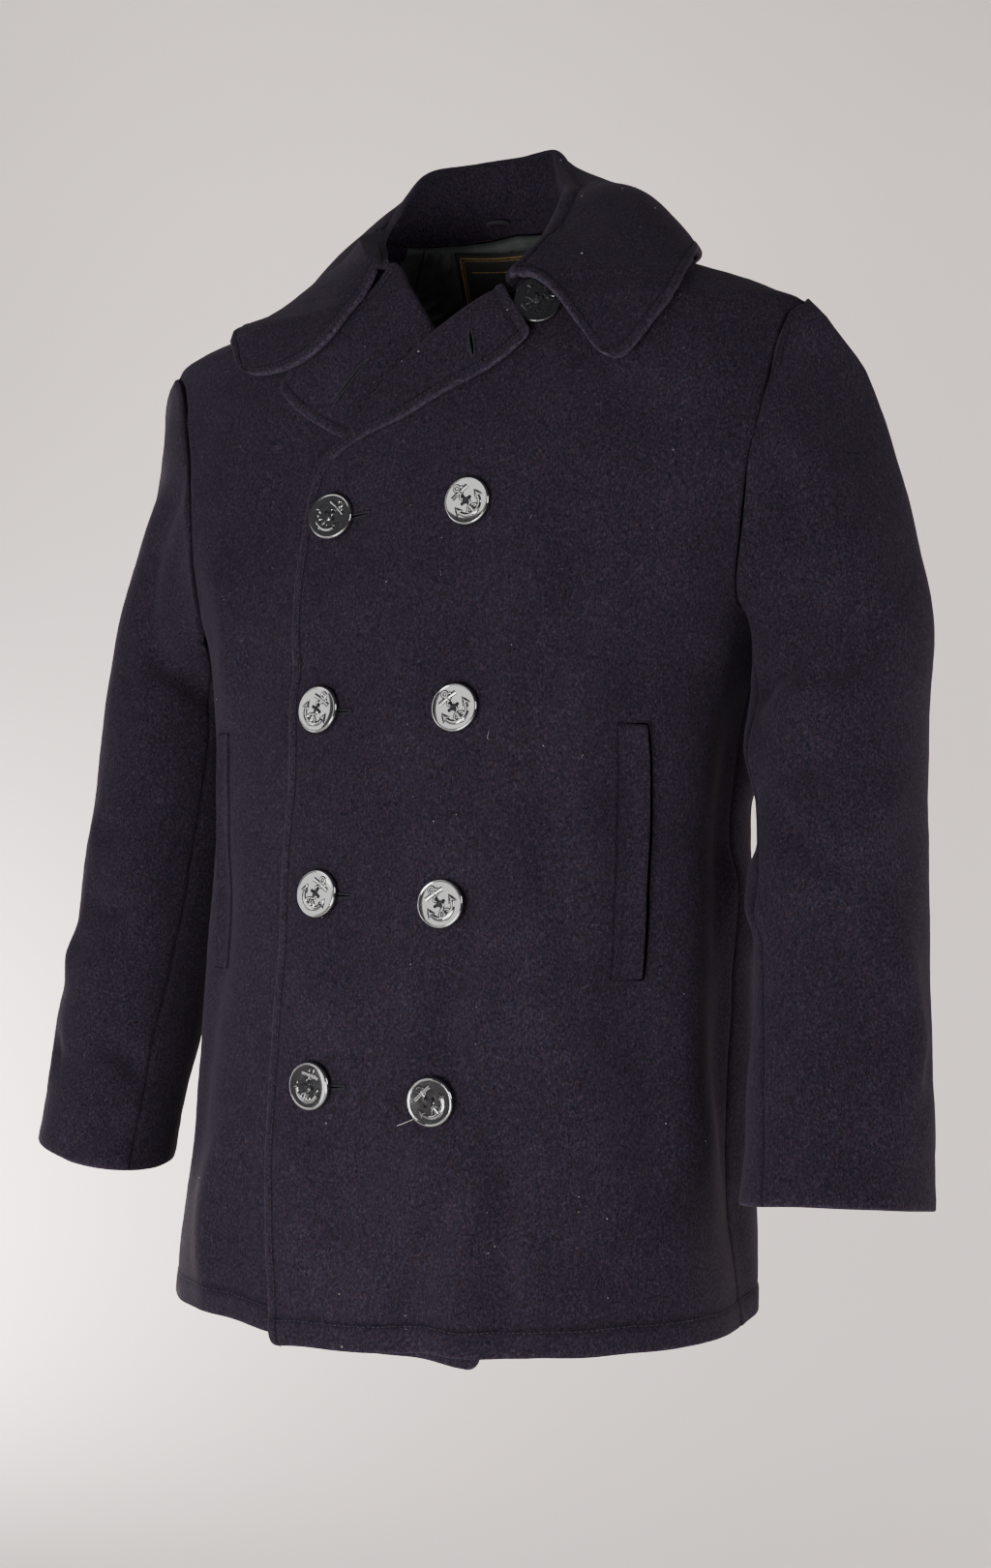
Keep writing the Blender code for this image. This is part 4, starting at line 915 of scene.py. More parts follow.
def cloth_wall(
    name, sheet, thickness, edges, finishes, facing=None, hidden=None, masks=None,
    relief=0.0, soft=1.0, corners=(),
):
    """A wall of cloth below a sheet of points: rows up, columns to the right seen from outside. edges are
    the kinds of its left, right, bottom and top; masks say where along a side its relief applies; facing
    names the side with wool on the inner face; hidden gives the inner face's last rows; finishes are the
    outer face's and the inner face's."""
    sheet = sheet + wander(sheet)
    sheet = swell(sheet, sheet_normals(sheet), soft)
    normal = sheet_normals(sheet)
    sheet = round_corners(sheet, corners)
    distances = distances_of(sheet)
    left, bottom = distances["left"], distances["bottom"]
    rough = 1.0 + EDGE_ROUGHNESS * uneven(sheet, *EDGE_WAVE)
    shape, wear_and_painted_light_amount, drop_out, drop_in, wool = edge_shapes(distances, edges, masks or {}, thickness)
    lift = uneven(sheet, *GRAIN_WAVE) * GRAIN + relief + shape * rough
    if facing:
        wool = wool | (distances[facing] < FACING)
    inside = np.where(wool, 0, len(finishes) - 1)
    outer = sheet + normal * (lift - drop_out)[..., None]
    inner = sheet - normal * (thickness - drop_in)[..., None]
    if hidden is not None:
        inner[-len(hidden) :] = hidden
    count = left.size
    index = np.arange(count).reshape(left.shape)
    quads = quads_of(index)
    ring = np.concatenate([index[0, :-1], index[:-1, -1], index[-1, :0:-1], index[:0:-1, 0]])
    after = np.roll(ring, -1)
    rim = np.stack([after, ring, ring + count, after + count], -1)
    faces = np.vstack([quads, (quads + count)[:, ::-1], rim])
    indices = np.concatenate([np.zeros(len(quads), int), inside[:-1, :-1].ravel(), np.zeros(len(rim), int)])
    points = np.vstack([outer.reshape(-1, 3), inner.reshape(-1, 3)])
    made = mesh_piece(name, points, faces, finishes, indices)
    corner = np.empty(len(made.data.loops), dtype=np.int32)
    made.data.loops.foreach_get("vertex_index", corner)
    flat = np.tile(np.stack([left, bottom], -1).reshape(-1, 2), (2, 1)).astype(np.float32)
    made.data.uv_layers.new(name="cloth").data.foreach_set("uv", flat[corner].ravel())
    # Tone of the edges at each point: lighter at the edges, worn nap with a painted highlight, and painted
    # shade in seams and stitch grooves
    wear_and_painted_light = made.data.attributes.new("wear_and_painted_light", "FLOAT", "POINT")
    wear_and_painted_light.data.foreach_set("value", np.tile(wear_and_painted_light_amount.ravel(), 2).astype(np.float32))
    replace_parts(made, name.removeprefix("cloth_"))
    return Panel(made, outer, normal)


class Pile:
    """Many small solids joined in one mesh."""

    def __init__(self):
        self.points, self.faces, self.finish = [], [], []
        self.count = 0

    def add(self, points, faces, finish=None):
        self.points.append(np.asarray(points))
        self.faces += [tuple(k + self.count for k in face) for face in faces]
        self.finish += finish or [0] * len(faces)
        self.count += len(points)

    def sweep(self, path, out, wide, high=None, sides=6, closed=False):
        """A tube along a path; out is the way off the cloth, wide and high its half sizes."""
        path = np.asarray(path, float)
        count = len(path)
        wide = np.broadcast_to(np.asarray(wide, float), (count,))
        high = wide if high is None else np.broadcast_to(float(high), (count,))
        along = directions(path, closed)
        across = unit(np.cross(along, np.broadcast_to(np.asarray(out, float), path.shape)))
        up = unit(np.cross(across, along))
        turns = np.linspace(0.0, 2 * math.pi, sides, endpoint=False)
        ring = (
            path[:, None]
            + across[:, None] * (np.cos(turns)[None, :] * wide[:, None])[..., None]
            + up[:, None] * (np.sin(turns)[None, :] * high[:, None])[..., None]
        )
        faces = []
        for k in range(count if closed else count - 1):
            here, there = k * sides, (k + 1) % count * sides
            for t in range(sides):
                m = (t + 1) % sides
                faces.append((here + t, there + t, there + m, here + m))
        if not closed:
            faces.append(tuple(range(sides)))
            faces.append(tuple((count - 1) * sides + t for t in reversed(range(sides))))
        self.add(ring.reshape(-1, 3), faces)

    def make(self, name, finishes, slot):
        return mesh_piece(name, np.vstack(self.points), self.faces, finishes, self.finish)


def line_at(panel, edge, inset):
    """The line on a panel at this distance from an edge, with the panel's normals there."""
    walked = distances_of(panel.outer)[edge]
    grids = (panel.outer, panel.normal)
    if edge in ("bottom", "top"):
        walked = walked.T
        grids = [grid.transpose(1, 0, 2) for grid in grids]
    way = 1 if walked[0, -1] > walked[0, 0] else -1
    points, normals = (
        np.array([read_at(inset, distance[::way], row[::way]) for distance, row in zip(walked, grid)])
        for grid in grids
    )
    return points, unit(normals)


def sew(panel, edge, inset, keep=slice(None)):
    """Topstitches along an edge of a panel, where keep says so."""
    points, normals = line_at(panel, edge, inset)
    points, normals = resample(points[keep], normals[keep], STITCH_PITCH)
    thread = np.array([0.5, 1.0, 1.0, 0.5]) * STITCH_RADIUS
    for point, up, ahead in zip(points, normals, directions(points)):
        path = [point + ahead * STITCH_LENGTH * t + up * STITCH_SINK * h for t, h in STITCH_COURSE]
        SEWING_PILE.sweep(path, up, thread, sides=5)


SEWING_PILE = Pile()

# ---------------------------------------------------------------- rows and columns of the panels


def spread(lengths, low, high, step):
    """Shares from 0 to 1 across rows of these lengths, fine at both ends (low and high in millimetres)."""
    low, high = np.array(low) / 1000.0, np.array(high) / 1000.0
    middle = max(int(math.ceil((lengths.max() - low[-1] - high[-1]) / step)), 2)
    inner = np.linspace(0.0, 1.0, middle + 1)[1:-1][None, :]
    lengths = lengths[:, None]
    start = np.broadcast_to(low, (len(lengths), len(low)))
    metres = np.hstack([start, low[-1] * (1 - inner) + (lengths - high[-1]) * inner, lengths - high[::-1]])
    return metres / lengths


def fine_places(first, last):
    """Places along a table's rows, fine at the hem, from the rows' points on both sides of the panel."""
    lengths = np.maximum(*(np.linalg.norm(np.diff(side, axis=0), axis=1) for side in (first, last)))
    places = list(np.array(HEM_STEPS) / 1000.0 / lengths[0])
    for row, length in enumerate(lengths):
        start = places[-1] if row == 0 else float(row)
        count = max(int(math.ceil((row + 1 - start) * length / STEP)), 1)
        places += list(np.linspace(start, row + 1.0, count + 1)[1:])
    return np.array(places)


def widths(sheet):
    return walk(sheet, 1)[0][:, -1]


def between(low, high, part):
    """Values part of the way from a row's low value to its high one."""
    return low[:, None] * (1 - part) + high[:, None] * part


def front_rows(side, places):
    rows = by_row(FRONT_LEFT if side > 0 else FRONT_RIGHT, places)
    edge_share = side * FORM.share_at(side * rows[:, 0], rows[:, 1])
    return rows, edge_share, rows[:, 2] + FORM.gap_share(rows[:, 3], SEAM_LAP)


def front_at(side, places, part):
    """Share and height at shares of the way from a front's free edge to its side."""
    rows, edge_share, side_share = front_rows(side, places)
    fall = np.maximum(1 - part, 0.0) ** (1.0 + ease(*HEM_CURVE_BAND, rows[:, 3])[:, None])
    height = between(rows[:, 3], rows[:, 1], fall)
    return side * between(edge_share, side_share, part), np.minimum(height, NECK_LOW)


def back_rows(places):
    rows = by_row(BACK, places)
    return rows, rows[:, 0] - FORM.gap_share(rows[:, 1], SEAM_LAP)


def back_at(places, part):
    """Share and height at shares of the way from the back's left side to its middle."""
    rows, side_share = back_rows(places)
    return between(side_share, np.full(len(places), 2.0), part), between(rows[:, 1], rows[:, 2], part)


ROWS = np.arange(float(len(BACK)))
COARSE = np.linspace(0.0, 1.0, 40)[None, :]
BOTH_ENDS = np.array([[0.0, 1.0]])

# ---------------------------------------------------------------- body and lapels


def make_front(name, side):
    ends = FORM.points(*front_at(side, ROWS, BOTH_ENDS))
    places = fine_places(ends[:, 0], ends[:, 1])
    width = widths(front_sheet(side, *front_at(side, places, COARSE)))
    part = spread(width, EDGE_STEPS, SEAM_STEPS, STEP)
    sheet = front_sheet(side, *front_at(side, places, part))[:, ::side]
    edge = "left" if side > 0 else "right"
    turned = (1.0 - ease(BREAK_ROW - 0.2, BREAK_ROW + 0.1, places))[:, None]
    panel = cloth_wall(
        name, sheet, CLOTH, ("turned", "seam")[::side] + ("hem", "plain"), [WOOL, SATIN],
        facing=edge, masks={edge: turned}, corners=[(edge, "bottom", FRONT_CORNER)],
    )
    sew(panel, edge, STITCH_IN, places <= BREAK_ROW)
    sew(panel, "bottom", HEM_STITCH)
    return panel


def make_back():
    ends = FORM.points(*back_at(ROWS, BOTH_ENDS))
    places = fine_places(ends[:, 0], ends[:, 1])
    width = widths(FORM.points(*back_at(places, COARSE)))
    share, height = back_at(places, spread(width, SEAM_STEPS, (0.0, STEP * 1000.0), STEP))
    share = np.hstack([share, 4.0 - share[:, -2::-1]])
    height = np.hstack([height, height[:, -2::-1]])
    edges = ("seam", "seam", "hem", "plain")
    panel = cloth_wall("cloth_back", FORM.points(share, height), CLOTH, edges, [WOOL, SATIN])
    sew(panel, "bottom", HEM_STITCH)
    return panel


def make_lapel(name, side):
    """A lapel: a half roll along the front's upper edge, then cloth lying flat on the front."""
    lower = np.linspace(BREAK_ROW, SHOULDER_ROW - LAPEL_EVEN_END, LAPEL_EVEN_ROWS)
    places = np.append(lower, SHOULDER_ROW - np.array(LAPEL_TOP_ROWS))
    edge_x, edge_z, radius, lift = by_row(LAPEL_LEFT if side > 0 else LAPEL_RIGHT, places - BREAK_ROW).T
    front, roll_share, _ = front_rows(side, places)
    roll_share, roll_z = side * roll_share, front[:, 1]
    roll = front_sheet(side, roll_share, roll_z)
    normal = FORM.normals(roll_share, roll_z)
    away = unit(-side * np.cross(directions(roll), normal))
    sink = LAPEL_SINK * (1.0 - ease(0.0, 0.9, places - BREAK_ROW)) * (side > 0)
    middle = roll + normal * (radius - CLOTH - sink)[:, None] + away * 3 * GAP
    columns = []
    for angle in np.linspace(0.0, math.pi, ROLL_COLUMNS):
        columns.append(middle + (away * math.sin(angle) - normal * math.cos(angle)) * radius[:, None])
    edge_share = FORM.share_at(edge_x, edge_z)
    width = np.linalg.norm(FORM.points(edge_share, edge_z) - roll, axis=1)
    for part in spread(np.maximum(width, LAPEL_MIN_WIDTH), (1.5, 3.0), EDGE_STEPS, LAPEL_STEP).T:
        share = roll_share * (1 - part) + edge_share * part
        height = roll_z * (1 - part) + edge_z * part
        out = (2 * radius - CLOTH) * (1 - ease(0.0, 1.0, part)) + lift * ease(0.0, 1.0, part)
        columns.append(front_sheet(side, share, height, out - sink))
    sheet = np.stack(columns, axis=1)[:, ::side]
    edge = "right" if side > 0 else "left"
    panel = cloth_wall(
        name, sheet, CLOTH, ("plain", "turned")[::side] + ("plain", "turned"), [WOOL],
        masks={edge: ease(BREAK_ROW, BREAK_ROW + 0.5, places)[:, None]}, soft=0.5,
        corners=[(edge, "top", LAPEL_CORNER)],
    )
    sew(panel, edge, STITCH_IN, (places > BREAK_ROW + 0.3) & (places < SHOULDER_ROW - 0.15))
    along = np.arange(sheet.shape[1])
    sew(panel, "top", STITCH_IN, (along >= LAPEL_MARGIN) & (along < sheet.shape[1] - LAPEL_MARGIN))
    return panel


# ---------------------------------------------------------------- collar


def neckline(side):
    """Points of the neckline from the centre back to the top of a roll line, and the form's normals."""
    part = np.linspace(0.0, 1.0, NECK_POINTS)[None, :]
    neck = ROWS[-1:]
    back_share, back_height = back_at(neck, 1 - part)
    top_share, top_height = front_at(side, neck, 1 - part)
    places = np.linspace(neck[0], SHOULDER_ROW, NECK_POINTS)[1:]
    edge_share, edge_height = front_at(side, places, np.zeros((1, 1)))
    share = np.concatenate([side * back_share[0], top_share[0], edge_share[:, 0]])
    height = np.concatenate([back_height[0], top_height[0], edge_height[:, 0]])
    return front_sheet(side, share, height), FORM.normals(share, height)


def collar_half(table, side):
    """Sections of the collar's visible face from the centre back to one front end: up the inside of the
    stand, over the fold and down the leaf."""
    rows = through(table, (len(table) - 1) * COLLAR_STEPS + 1)
    ends = np.array(COLLAR_END_PARTS)[:, None]
    rows = np.vstack([rows[:-2], rows[-3] * (1 - ends) + rows[-1] * ends, rows[-1:]])
    line, normals = neckline(side)
    walked = walked_along(line)
    wanted = rows[:, 0] * walked[-1]
    seam, normal = read_at(wanted, walked, line), unit(read_at(wanted, walked, normals))
    crest, middle, edge = rows[:, 1:4], rows[:, 4:7], rows[:, 7:10]
    up = unit(crest - seam)
    out = middle - crest
    out = unit(out - up * np.sum(out * up, axis=1, keepdims=True))
    lean = np.maximum(0.0, -np.sum(normal * up, axis=1, keepdims=True))
    foot = seam + up * (4 * GAP + lean * CLOTH) - out * DOUBLE_CLOTH * STAND_DEPTH
    centre = crest - up * FOLD_RADIUS
    top = centre - out * FOLD_RADIUS
    columns = [foot * (1 - part) + top * part for part in np.linspace(0.0, 1.0, STAND_COLUMNS + 1)[:-1]]
    behind = [column + out * DOUBLE_CLOTH for column in columns]
    for angle in np.linspace(0.0, FOLD_TURN, ARC_COLUMNS):
        turn = up * math.sin(angle) - out * math.cos(angle)
        columns.append(centre + turn * FOLD_RADIUS)
        behind.append(centre + turn * (FOLD_RADIUS - DOUBLE_CLOTH))
    last = columns[-1]
    width = np.linalg.norm(middle - last, axis=1) + np.linalg.norm(edge - middle, axis=1)
    for part in spread(width, (2.0,), EDGE_STEPS, LEAF_STEP).T[:, :, None]:
        bow = (2 * middle - 0.5 * (last + edge)) * 2 * part * (1 - part)
        columns.append(last * (1 - part) ** 2 + edge * part**2 + bow)
    return np.stack(columns, axis=1), np.stack(behind, axis=1)


def with_columns(half, count):
    """A collar half with this many columns, fewer in the middle of its leaf."""
    if half.shape[1] == count:
        return half
    first = STAND_COLUMNS + ARC_COLUMNS + 1
    keep = half.shape[1] - len(EDGE_STEPS)
    place = np.linspace(first, keep - 1, count - len(EDGE_STEPS) - first)
    low = np.clip(place.astype(int), 0, keep - 2)
    part = (place - low)[None, :, None]
    middle = half[:, low] * (1 - part) + half[:, low + 1] * part
    return np.concatenate([half[:, :first], middle, half[:, keep:]], axis=1)


def make_collar():
    halves = [collar_half(COLLAR_RIGHT, -1), collar_half(COLLAR_LEFT, 1)]
    count = min(half[0].shape[1] for half in halves)
    right, left = (with_columns(half[0], count) for half in halves)
    sheet = np.vstack([right[::-1], left[1:]])
    behind = np.vstack([halves[0][1][::-1], halves[1][1][1:]])
    first = STAND_COLUMNS + ARC_COLUMNS - 1
    place = walked_along(sheet[:, first])
    middle = place[len(right) - 1]
    station = np.where(place < middle, (middle - place) / middle, (place - middle) / (place[-1] - middle))
    part = np.linspace(0.0, 1.0, count - first)[None, :]
    clear = LEAF_CLEAR + LEAF_LIFT * ease(*LEAF_LIFT_BAND, station[:, None]) * (1 - LEAF_LIFT_FADE * part)
    sheet[:, first:] = push_out(sheet[:, first:], clear)
    sheet, behind = (grid.transpose(1, 0, 2)[::-1, ::-1] for grid in (sheet, behind))

    rows, along = np.arange(sheet.shape[0]), np.arange(sheet.shape[1])
    fold_row = len(rows) - STAND_COLUMNS
    leaf = (rows < fold_row - LEAF_END)[:, None] * 1.0
    panel = cloth_wall(
        "cloth_collar", sheet, DOUBLE_CLOTH, ("turned", "turned", "turned", "plain"), [WOOL],
        masks={"left": leaf, "right": leaf}, hidden=behind[1:], soft=0.7,
        corners=[("left", "bottom", COLLAR_CORNER), ("right", "bottom", COLLAR_CORNER)],
    )
    for edge in ("left", "right"):
        sew(panel, edge, STITCH_IN, (rows > LEAF_START) & (rows < fold_row - LEAF_END - 2))
    sew(panel, "bottom", STITCH_IN, (along >= COLLAR_MARGIN) & (along < len(along) - COLLAR_MARGIN))
    return panel


# ---------------------------------------------------------------- sleeves


def armhole_at(side, column):
    """A point of the armhole by its column round the sleeve, with the form's normal and the way in."""
    half = SLEEVE_COLUMNS / 2

    def level(column):
        column = column % SLEEVE_COLUMNS
        front_place = np.where(column < 1.0, SHOULDER_ROW - column, SHOULDER_ROW - 1 - (column - 1) / 2)
        last = column - (SLEEVE_COLUMNS - SHOULDER_ROW)
        back_place = np.where(column < 2 * half - 1, UNDERARM_ROW + (column - half) / 2, last)
        before = column <= half
        place = np.where(before, front_place, back_place)
        front, _, front_share = front_rows(side, place)
        back, back_share = back_rows(place)
        return side * np.where(before, front_share, back_share), np.where(before, front[:, 3], back[:, 1])

    share, height = level(column)
    ahead, behind = (FORM.points(*level(column + off), -ARMHOLE_DEPTH) for off in (0.5, -0.5))
    normal = FORM.normals(share, height)
    return FORM.points(share, height, -ARMHOLE_DEPTH), normal, side * unit(np.cross(normal, ahead - behind))


def sleeve_sheet(side, column, cap_parts, arm_parts):
    """A sleeve's surface from the armhole to the cuff at these columns round it, and its folds' height."""
    level, normal, inward = armhole_at(side, column)
    angles = 2 * math.pi * column / SLEEVE_COLUMNS
    front_tilt, outer_tilt = CUFF_TILT_LEFT if side > 0 else CUFF_TILT_RIGHT
    seam_drift = SEAM_DRIFT_LEFT if side > 0 else SEAM_DRIFT_RIGHT

    def drift(heights):
        """How far the columns have turned round the arm here, in degrees."""
        return seam_drift * np.clip((CAP_END - heights) / (CAP_END - CUFF), 0.0, 1.0)

    def ring(heights):
        middle_x, middle_y, out, front, turn = by_height(SLEEVE_RINGS, heights).T
        turn, here = np.radians(turn), angles + np.radians(drift(heights))
        a, b = out * np.cos(here), -front * np.sin(here)
        x = middle_x + a * np.cos(turn) - b * np.sin(turn)
        y = middle_y + a * np.sin(turn) + b * np.cos(turn)
        return np.stack([side * x, y, heights], -1)

    rise = (ARMHOLE_DEPTH + SEAM_LIFT + SEAM_ROPE * np.abs(np.cos(angles)))[:, None]
    start = level - inward * CAP_INSET
    lifted = start + normal * rise
    away = lifted - ring(lifted[:, 2])
    rows = [start * (1 - part) + lifted * part for part in CAP_EDGE_PARTS]
    for part in cap_parts:
        rows.append(ring(lifted[:, 2] * (1 - part) + CAP_END * part) + away * (1 - part) ** 2)
    for part in arm_parts:
        row = ring(np.full(len(column), CAP_END * (1 - part) + CUFF * part))
        here = angles + np.radians(drift(row[:, 2]))
        row[:, 2] += (front_tilt * np.sin(here) + outer_tilt * np.cos(here)) * ease(*CUFF_TILT_BAND, part)
        rows.append(row)
    sheet = np.array(rows)
    free = len(CAP_EDGE_PARTS) + 1
    sheet[free:] = push_out(sheet[free:], SLEEVE_CLEAR)
    folds = folds_across([row[1:] for row in SLEEVE_FOLDS if row[0] == side], COLUMN_METRES)
    around = column[None, :] + drift(sheet[..., 2]) / 360.0 * SLEEVE_COLUMNS
    around = around % SLEEVE_COLUMNS * COLUMN_METRES
    folded = fold_height(around, sheet[..., 2], folds)
    return sheet, folded * ease(*CAP_FOLD_ROWS, np.arange(len(rows)))[:, None]


def make_sleeve(side_name, side):
    cap_parts = np.linspace(0.0, 1.0, CAP_ROWS)[:-1]
    arm = CAP_END - CUFF
    hem = np.array(CUFF_STEPS) / 1000.0 / arm
    arm_parts = np.append(np.linspace(0.0, 1.0 - CUFF_START / arm, ARM_ROWS), 1.0 - hem)
    ends = np.array(SEAM_STEPS) / 1000.0 / COLUMN_METRES
    lap = SEAM_LAP / COLUMN_METRES
    for name, first, last in (
        ("sleeve_upper", BACK_SEAM, SLEEVE_COLUMNS + FRONT_SEAM),
        ("sleeve_under", FRONT_SEAM, BACK_SEAM),
    ):
        low, high = first - lap + ends, last + lap - ends[::-1]
        middle = np.linspace(low[-1], high[0], int((last - first) * COLUMN_METRES / STEP))[1:-1]
        sheet, folded = sleeve_sheet(side, np.concatenate([low, middle, high]), cap_parts, arm_parts)
        sheet, folded = sheet[:, ::-side], folded[:, ::-side]
        sheet = sheet - sheet_normals(sheet) * folded[..., None]
        edges = ("seam", "seam", "cuff", "armhole")
        cloth_wall(f"cloth_{name}_{side_name}", sheet[::-1], CLOTH, edges, [WOOL, SATIN], soft=1.3)


# ---------------------------------------------------------------- pockets


def make_welt(side_name, side):
    """An upright welt, open along its outer edge, with the pocket's dark mouth beside it."""
    foot = WELT_TOP - WELT_LENGTH
    heights = foot + spread(np.array([WELT_LENGTH]), EDGE_STEPS, EDGE_STEPS, STEP)[0] * WELT_LENGTH
    part = spread(np.full(len(heights), WELT_WIDTH), EDGE_STEPS[:-4], EDGE_STEPS[:-8], WELT_STEP)
    inner_x = np.interp(heights, [foot, WELT_TOP], WELT_INNER_X)
    base = FORM.share_at(side * inner_x, heights)[:, None]
    width = side * FORM.gap_share(heights, WELT_WIDTH)[:, None]
    height = heights[:, None]
    gape = np.sin(np.linspace(*GAPE_ENDS, len(heights)))[:, None]
    lift = WELT_GAPE * ease(*GAPE_BAND, part) * gape
    out = WELT_OUT - (0.0 if side > 0 else RIGHT_WELT_FLATTER)
    sheet = front_sheet(side, base + width * part, height, out + lift)
    bow = np.sin(np.linspace(*MOUTH_ENDS, len(heights)))[:, None] ** MOUTH_ROUNDNESS
    share = base + width * (0.5 + (0.5 + MOUTH_BOW * bow) * np.linspace(0.0, 1.0, MOUTH_COLUMNS)[None, :])
    mouth = front_sheet(side, share, height, MOUTH_OUT)
    mouth = swell(mouth + wander(mouth), FORM.normals(share, height))
    edges = ("welt", "plain")[::side] + ("welt", "welt")
    cloth_wall(f"cloth_pocket_welt_{side_name}", sheet[:, ::side], WELT_CLOTH, edges, [WOOL])
    faces = quads_of(np.arange(share.size).reshape(share.shape))
    points = mouth[:, ::side].reshape(-1, 3)
    slit = mesh_piece(f"pocket_mouth_{side_name}", points, faces, [SLIT])
    slit.modifiers.new("thick", "SOLIDIFY").thickness = MOUTH_CLOTH


# ---------------------------------------------------------------- inside the neck


def make_lining():
    share = np.linspace(4.0 - LINING_SHARE, LINING_SHARE, LINING_COLUMNS)[None, :]
    height = np.linspace(LINING_BOTTOM, LINING_TOP, LINING_ROWS)[:, None]
    sheet = FORM.points(share, height, LINING_LIFT - LINING_FACE)
    across, up = walk(sheet, 1)[0], walk(sheet, 0)[0]
    quilt = np.sin(math.pi * (across + up) / QUILT_SIZE) * np.sin(math.pi * (across - up) / QUILT_SIZE)
    phase = across * 2 * math.pi / GATHER_PITCH + GATHER_SWAY * uneven(sheet, *GATHER_WAVE)
    gather = ease(GATHER_LENGTH, 0.0, up[-1:] - up) * np.sin(phase)
    relief = QUILT_DEPTH * (np.abs(quilt) ** QUILT_PUFF - 1.0) + uneven(sheet, *LINING_WAVE) * LINING_CREASE
    cloth_wall(
        "cloth_back_lining", sheet, LINING_THICKNESS - LINING_LIFT, ("plain",) * 4, [SATIN],
        relief=relief + GATHER_DEPTH * (gather - 1.0), soft=0.0,
    )


def make_label():
    heights = np.linspace(*LABEL_HEIGHTS, LABEL_ROWS)
    x = np.linspace(*LABEL_X, LABEL_COLUMNS)
    across = FORM.points(LABEL_SHARES, heights[:, None])[..., 0]
    share = np.array([np.interp(-x, -row, LABEL_SHARES) for row in across])
    sheet = FORM.points(share, heights[:, None], -LINING_FACE - 2 * GAP - LABEL_THICKNESS)
    panel = cloth_wall(
        "cloth_label", sheet, LABEL_THICKNESS, ("plain",) * 4, [LABEL_WEAVE], soft=0.0
    )
    gold = Pile()
    for inset, radius in LABEL_BORDERS:
        path, ups = [], []
        for edge, way in (("bottom", 1), ("right", 1), ("top", -1), ("left", -1)):
            points, normals = line_at(panel, edge, inset)
            walked = walked_along(points)
            keep = (walked > inset) & (walked < walked[-1] - inset)
            path.append(points[keep][::way])
            ups.append(normals[keep][::way])
        path, ups = np.vstack(path), np.vstack(ups)
        gold.sweep(path + ups * GOLD_OUT, ups, radius, radius * 0.6, sides=5, closed=True)
    for row in LABEL_STRIPE_ROWS:
        points, ups = (grid[row, LABEL_MARGIN:-LABEL_MARGIN] for grid in (panel.outer, panel.normal))
        gold.sweep(points + ups * GOLD_OUT, ups, *LABEL_STRIPE, sides=5)
    gold.make("label_border", [GOLD_THREAD], "label_cloth")


def make_loop():
    """The hanger loop: three strands laid round each other along half a ring."""
    x, z = LOOP_MIDDLE
    angles = np.linspace(0.0, math.pi, LOOP_POINTS)
    across = LOOP_HALF * np.cos(angles)
    deep = LOOP_FACE + LOOP_SLANT * across - LOOP_OUT * np.sin(angles)
    path = np.stack([x + across, deep, np.full(LOOP_POINTS, z)], -1)
    side = np.cross(directions(path), UP)
    pile = Pile()
    for strand in range(3):
        turn = (angles * LOOP_TWIST + strand * 2 * math.pi / 3)[:, None]
        offset = side * np.cos(turn) + UP * np.sin(turn)
        pile.sweep(path + offset * LOOP_RADIUS * STRAND_PLACE, UP, LOOP_RADIUS * STRAND_SIZE, sides=7)
    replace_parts(pile.make("cloth_hanger_loop", [LOOP_CORD], "loop_cord"), "hanger_loop")


# ---------------------------------------------------------------- materials


class Finish:
    """A material, with the nodes that its shader needs."""

    def __init__(self, name, **settings):
        self.material = bpy.data.materials.new(name)
        self.material.use_nodes = True
        self.tree = self.material.node_tree
        self.shader = self.tree.nodes["Principled BSDF"]
        self.set(self.shader, settings)
        self.where = self.add("ShaderNodeTexCoord").outputs["Object"]

    def set(self, node, settings):
        for key, value in settings.items():
            if hasattr(node, key):
                setattr(node, key, value)
            else:
                node.inputs[key.replace("_", " ")].default_value = value

    def add(self, kind, links=(), **settings):
        """A node with these settings and with sources linked to its named or numbered inputs."""
        node = self.tree.nodes.new(kind)
        self.set(node, settings)
        for target, source in links:
            self.tree.links.new(source, node.inputs[target])
        return node

    def feed(self, target, source):
        self.tree.links.new(source, self.shader.inputs[target])

    def noise(self, kind, source=None):
        scale, detail, rough = kind
        links = [("Vector", self.where if source is None else source)]
        node = self.add("ShaderNodeTexNoise", links, Scale=scale, Detail=detail, Roughness=rough)
        return node.outputs["Fac"]

    def weighted(self, *parts):
        """The sum of sources, each times its weight; a weight may be a source too."""
        total = None
        for source, weight in parts:
            node = self.add("ShaderNodeMath", [(0, source)], operation="MULTIPLY")
            if isinstance(weight, float):
                node.inputs[1].default_value = weight
            else:
                self.tree.links.new(weight, node.inputs[1])
            if total is None:
                total = node.outputs[0]
            else:
                links = [(0, total), (1, node.outputs[0])]
                total = self.add("ShaderNodeMath", links, operation="ADD").outputs[0]
        return total

    def ramp(self, source, *stops):
        node = self.add("ShaderNodeValToRGB", [("Fac", source)])
        elements = node.color_ramp.elements
        while len(elements) < len(stops):
            elements.new(0.5)
        for element, (place, colour) in zip(elements, stops):
            element.position = place
            element.color = (*colour, 1.0)
        return node.outputs["Color"]

    def stretch(self, source, **limits):
        return self.add("ShaderNodeMapRange", [("Value", source)], **limits).outputs["Result"]

    def bump(self, height, strength, distance):
        node = self.add("ShaderNodeBump", [("Height", height)], Strength=strength, Distance=distance)
        self.feed("Normal", node.outputs["Normal"])


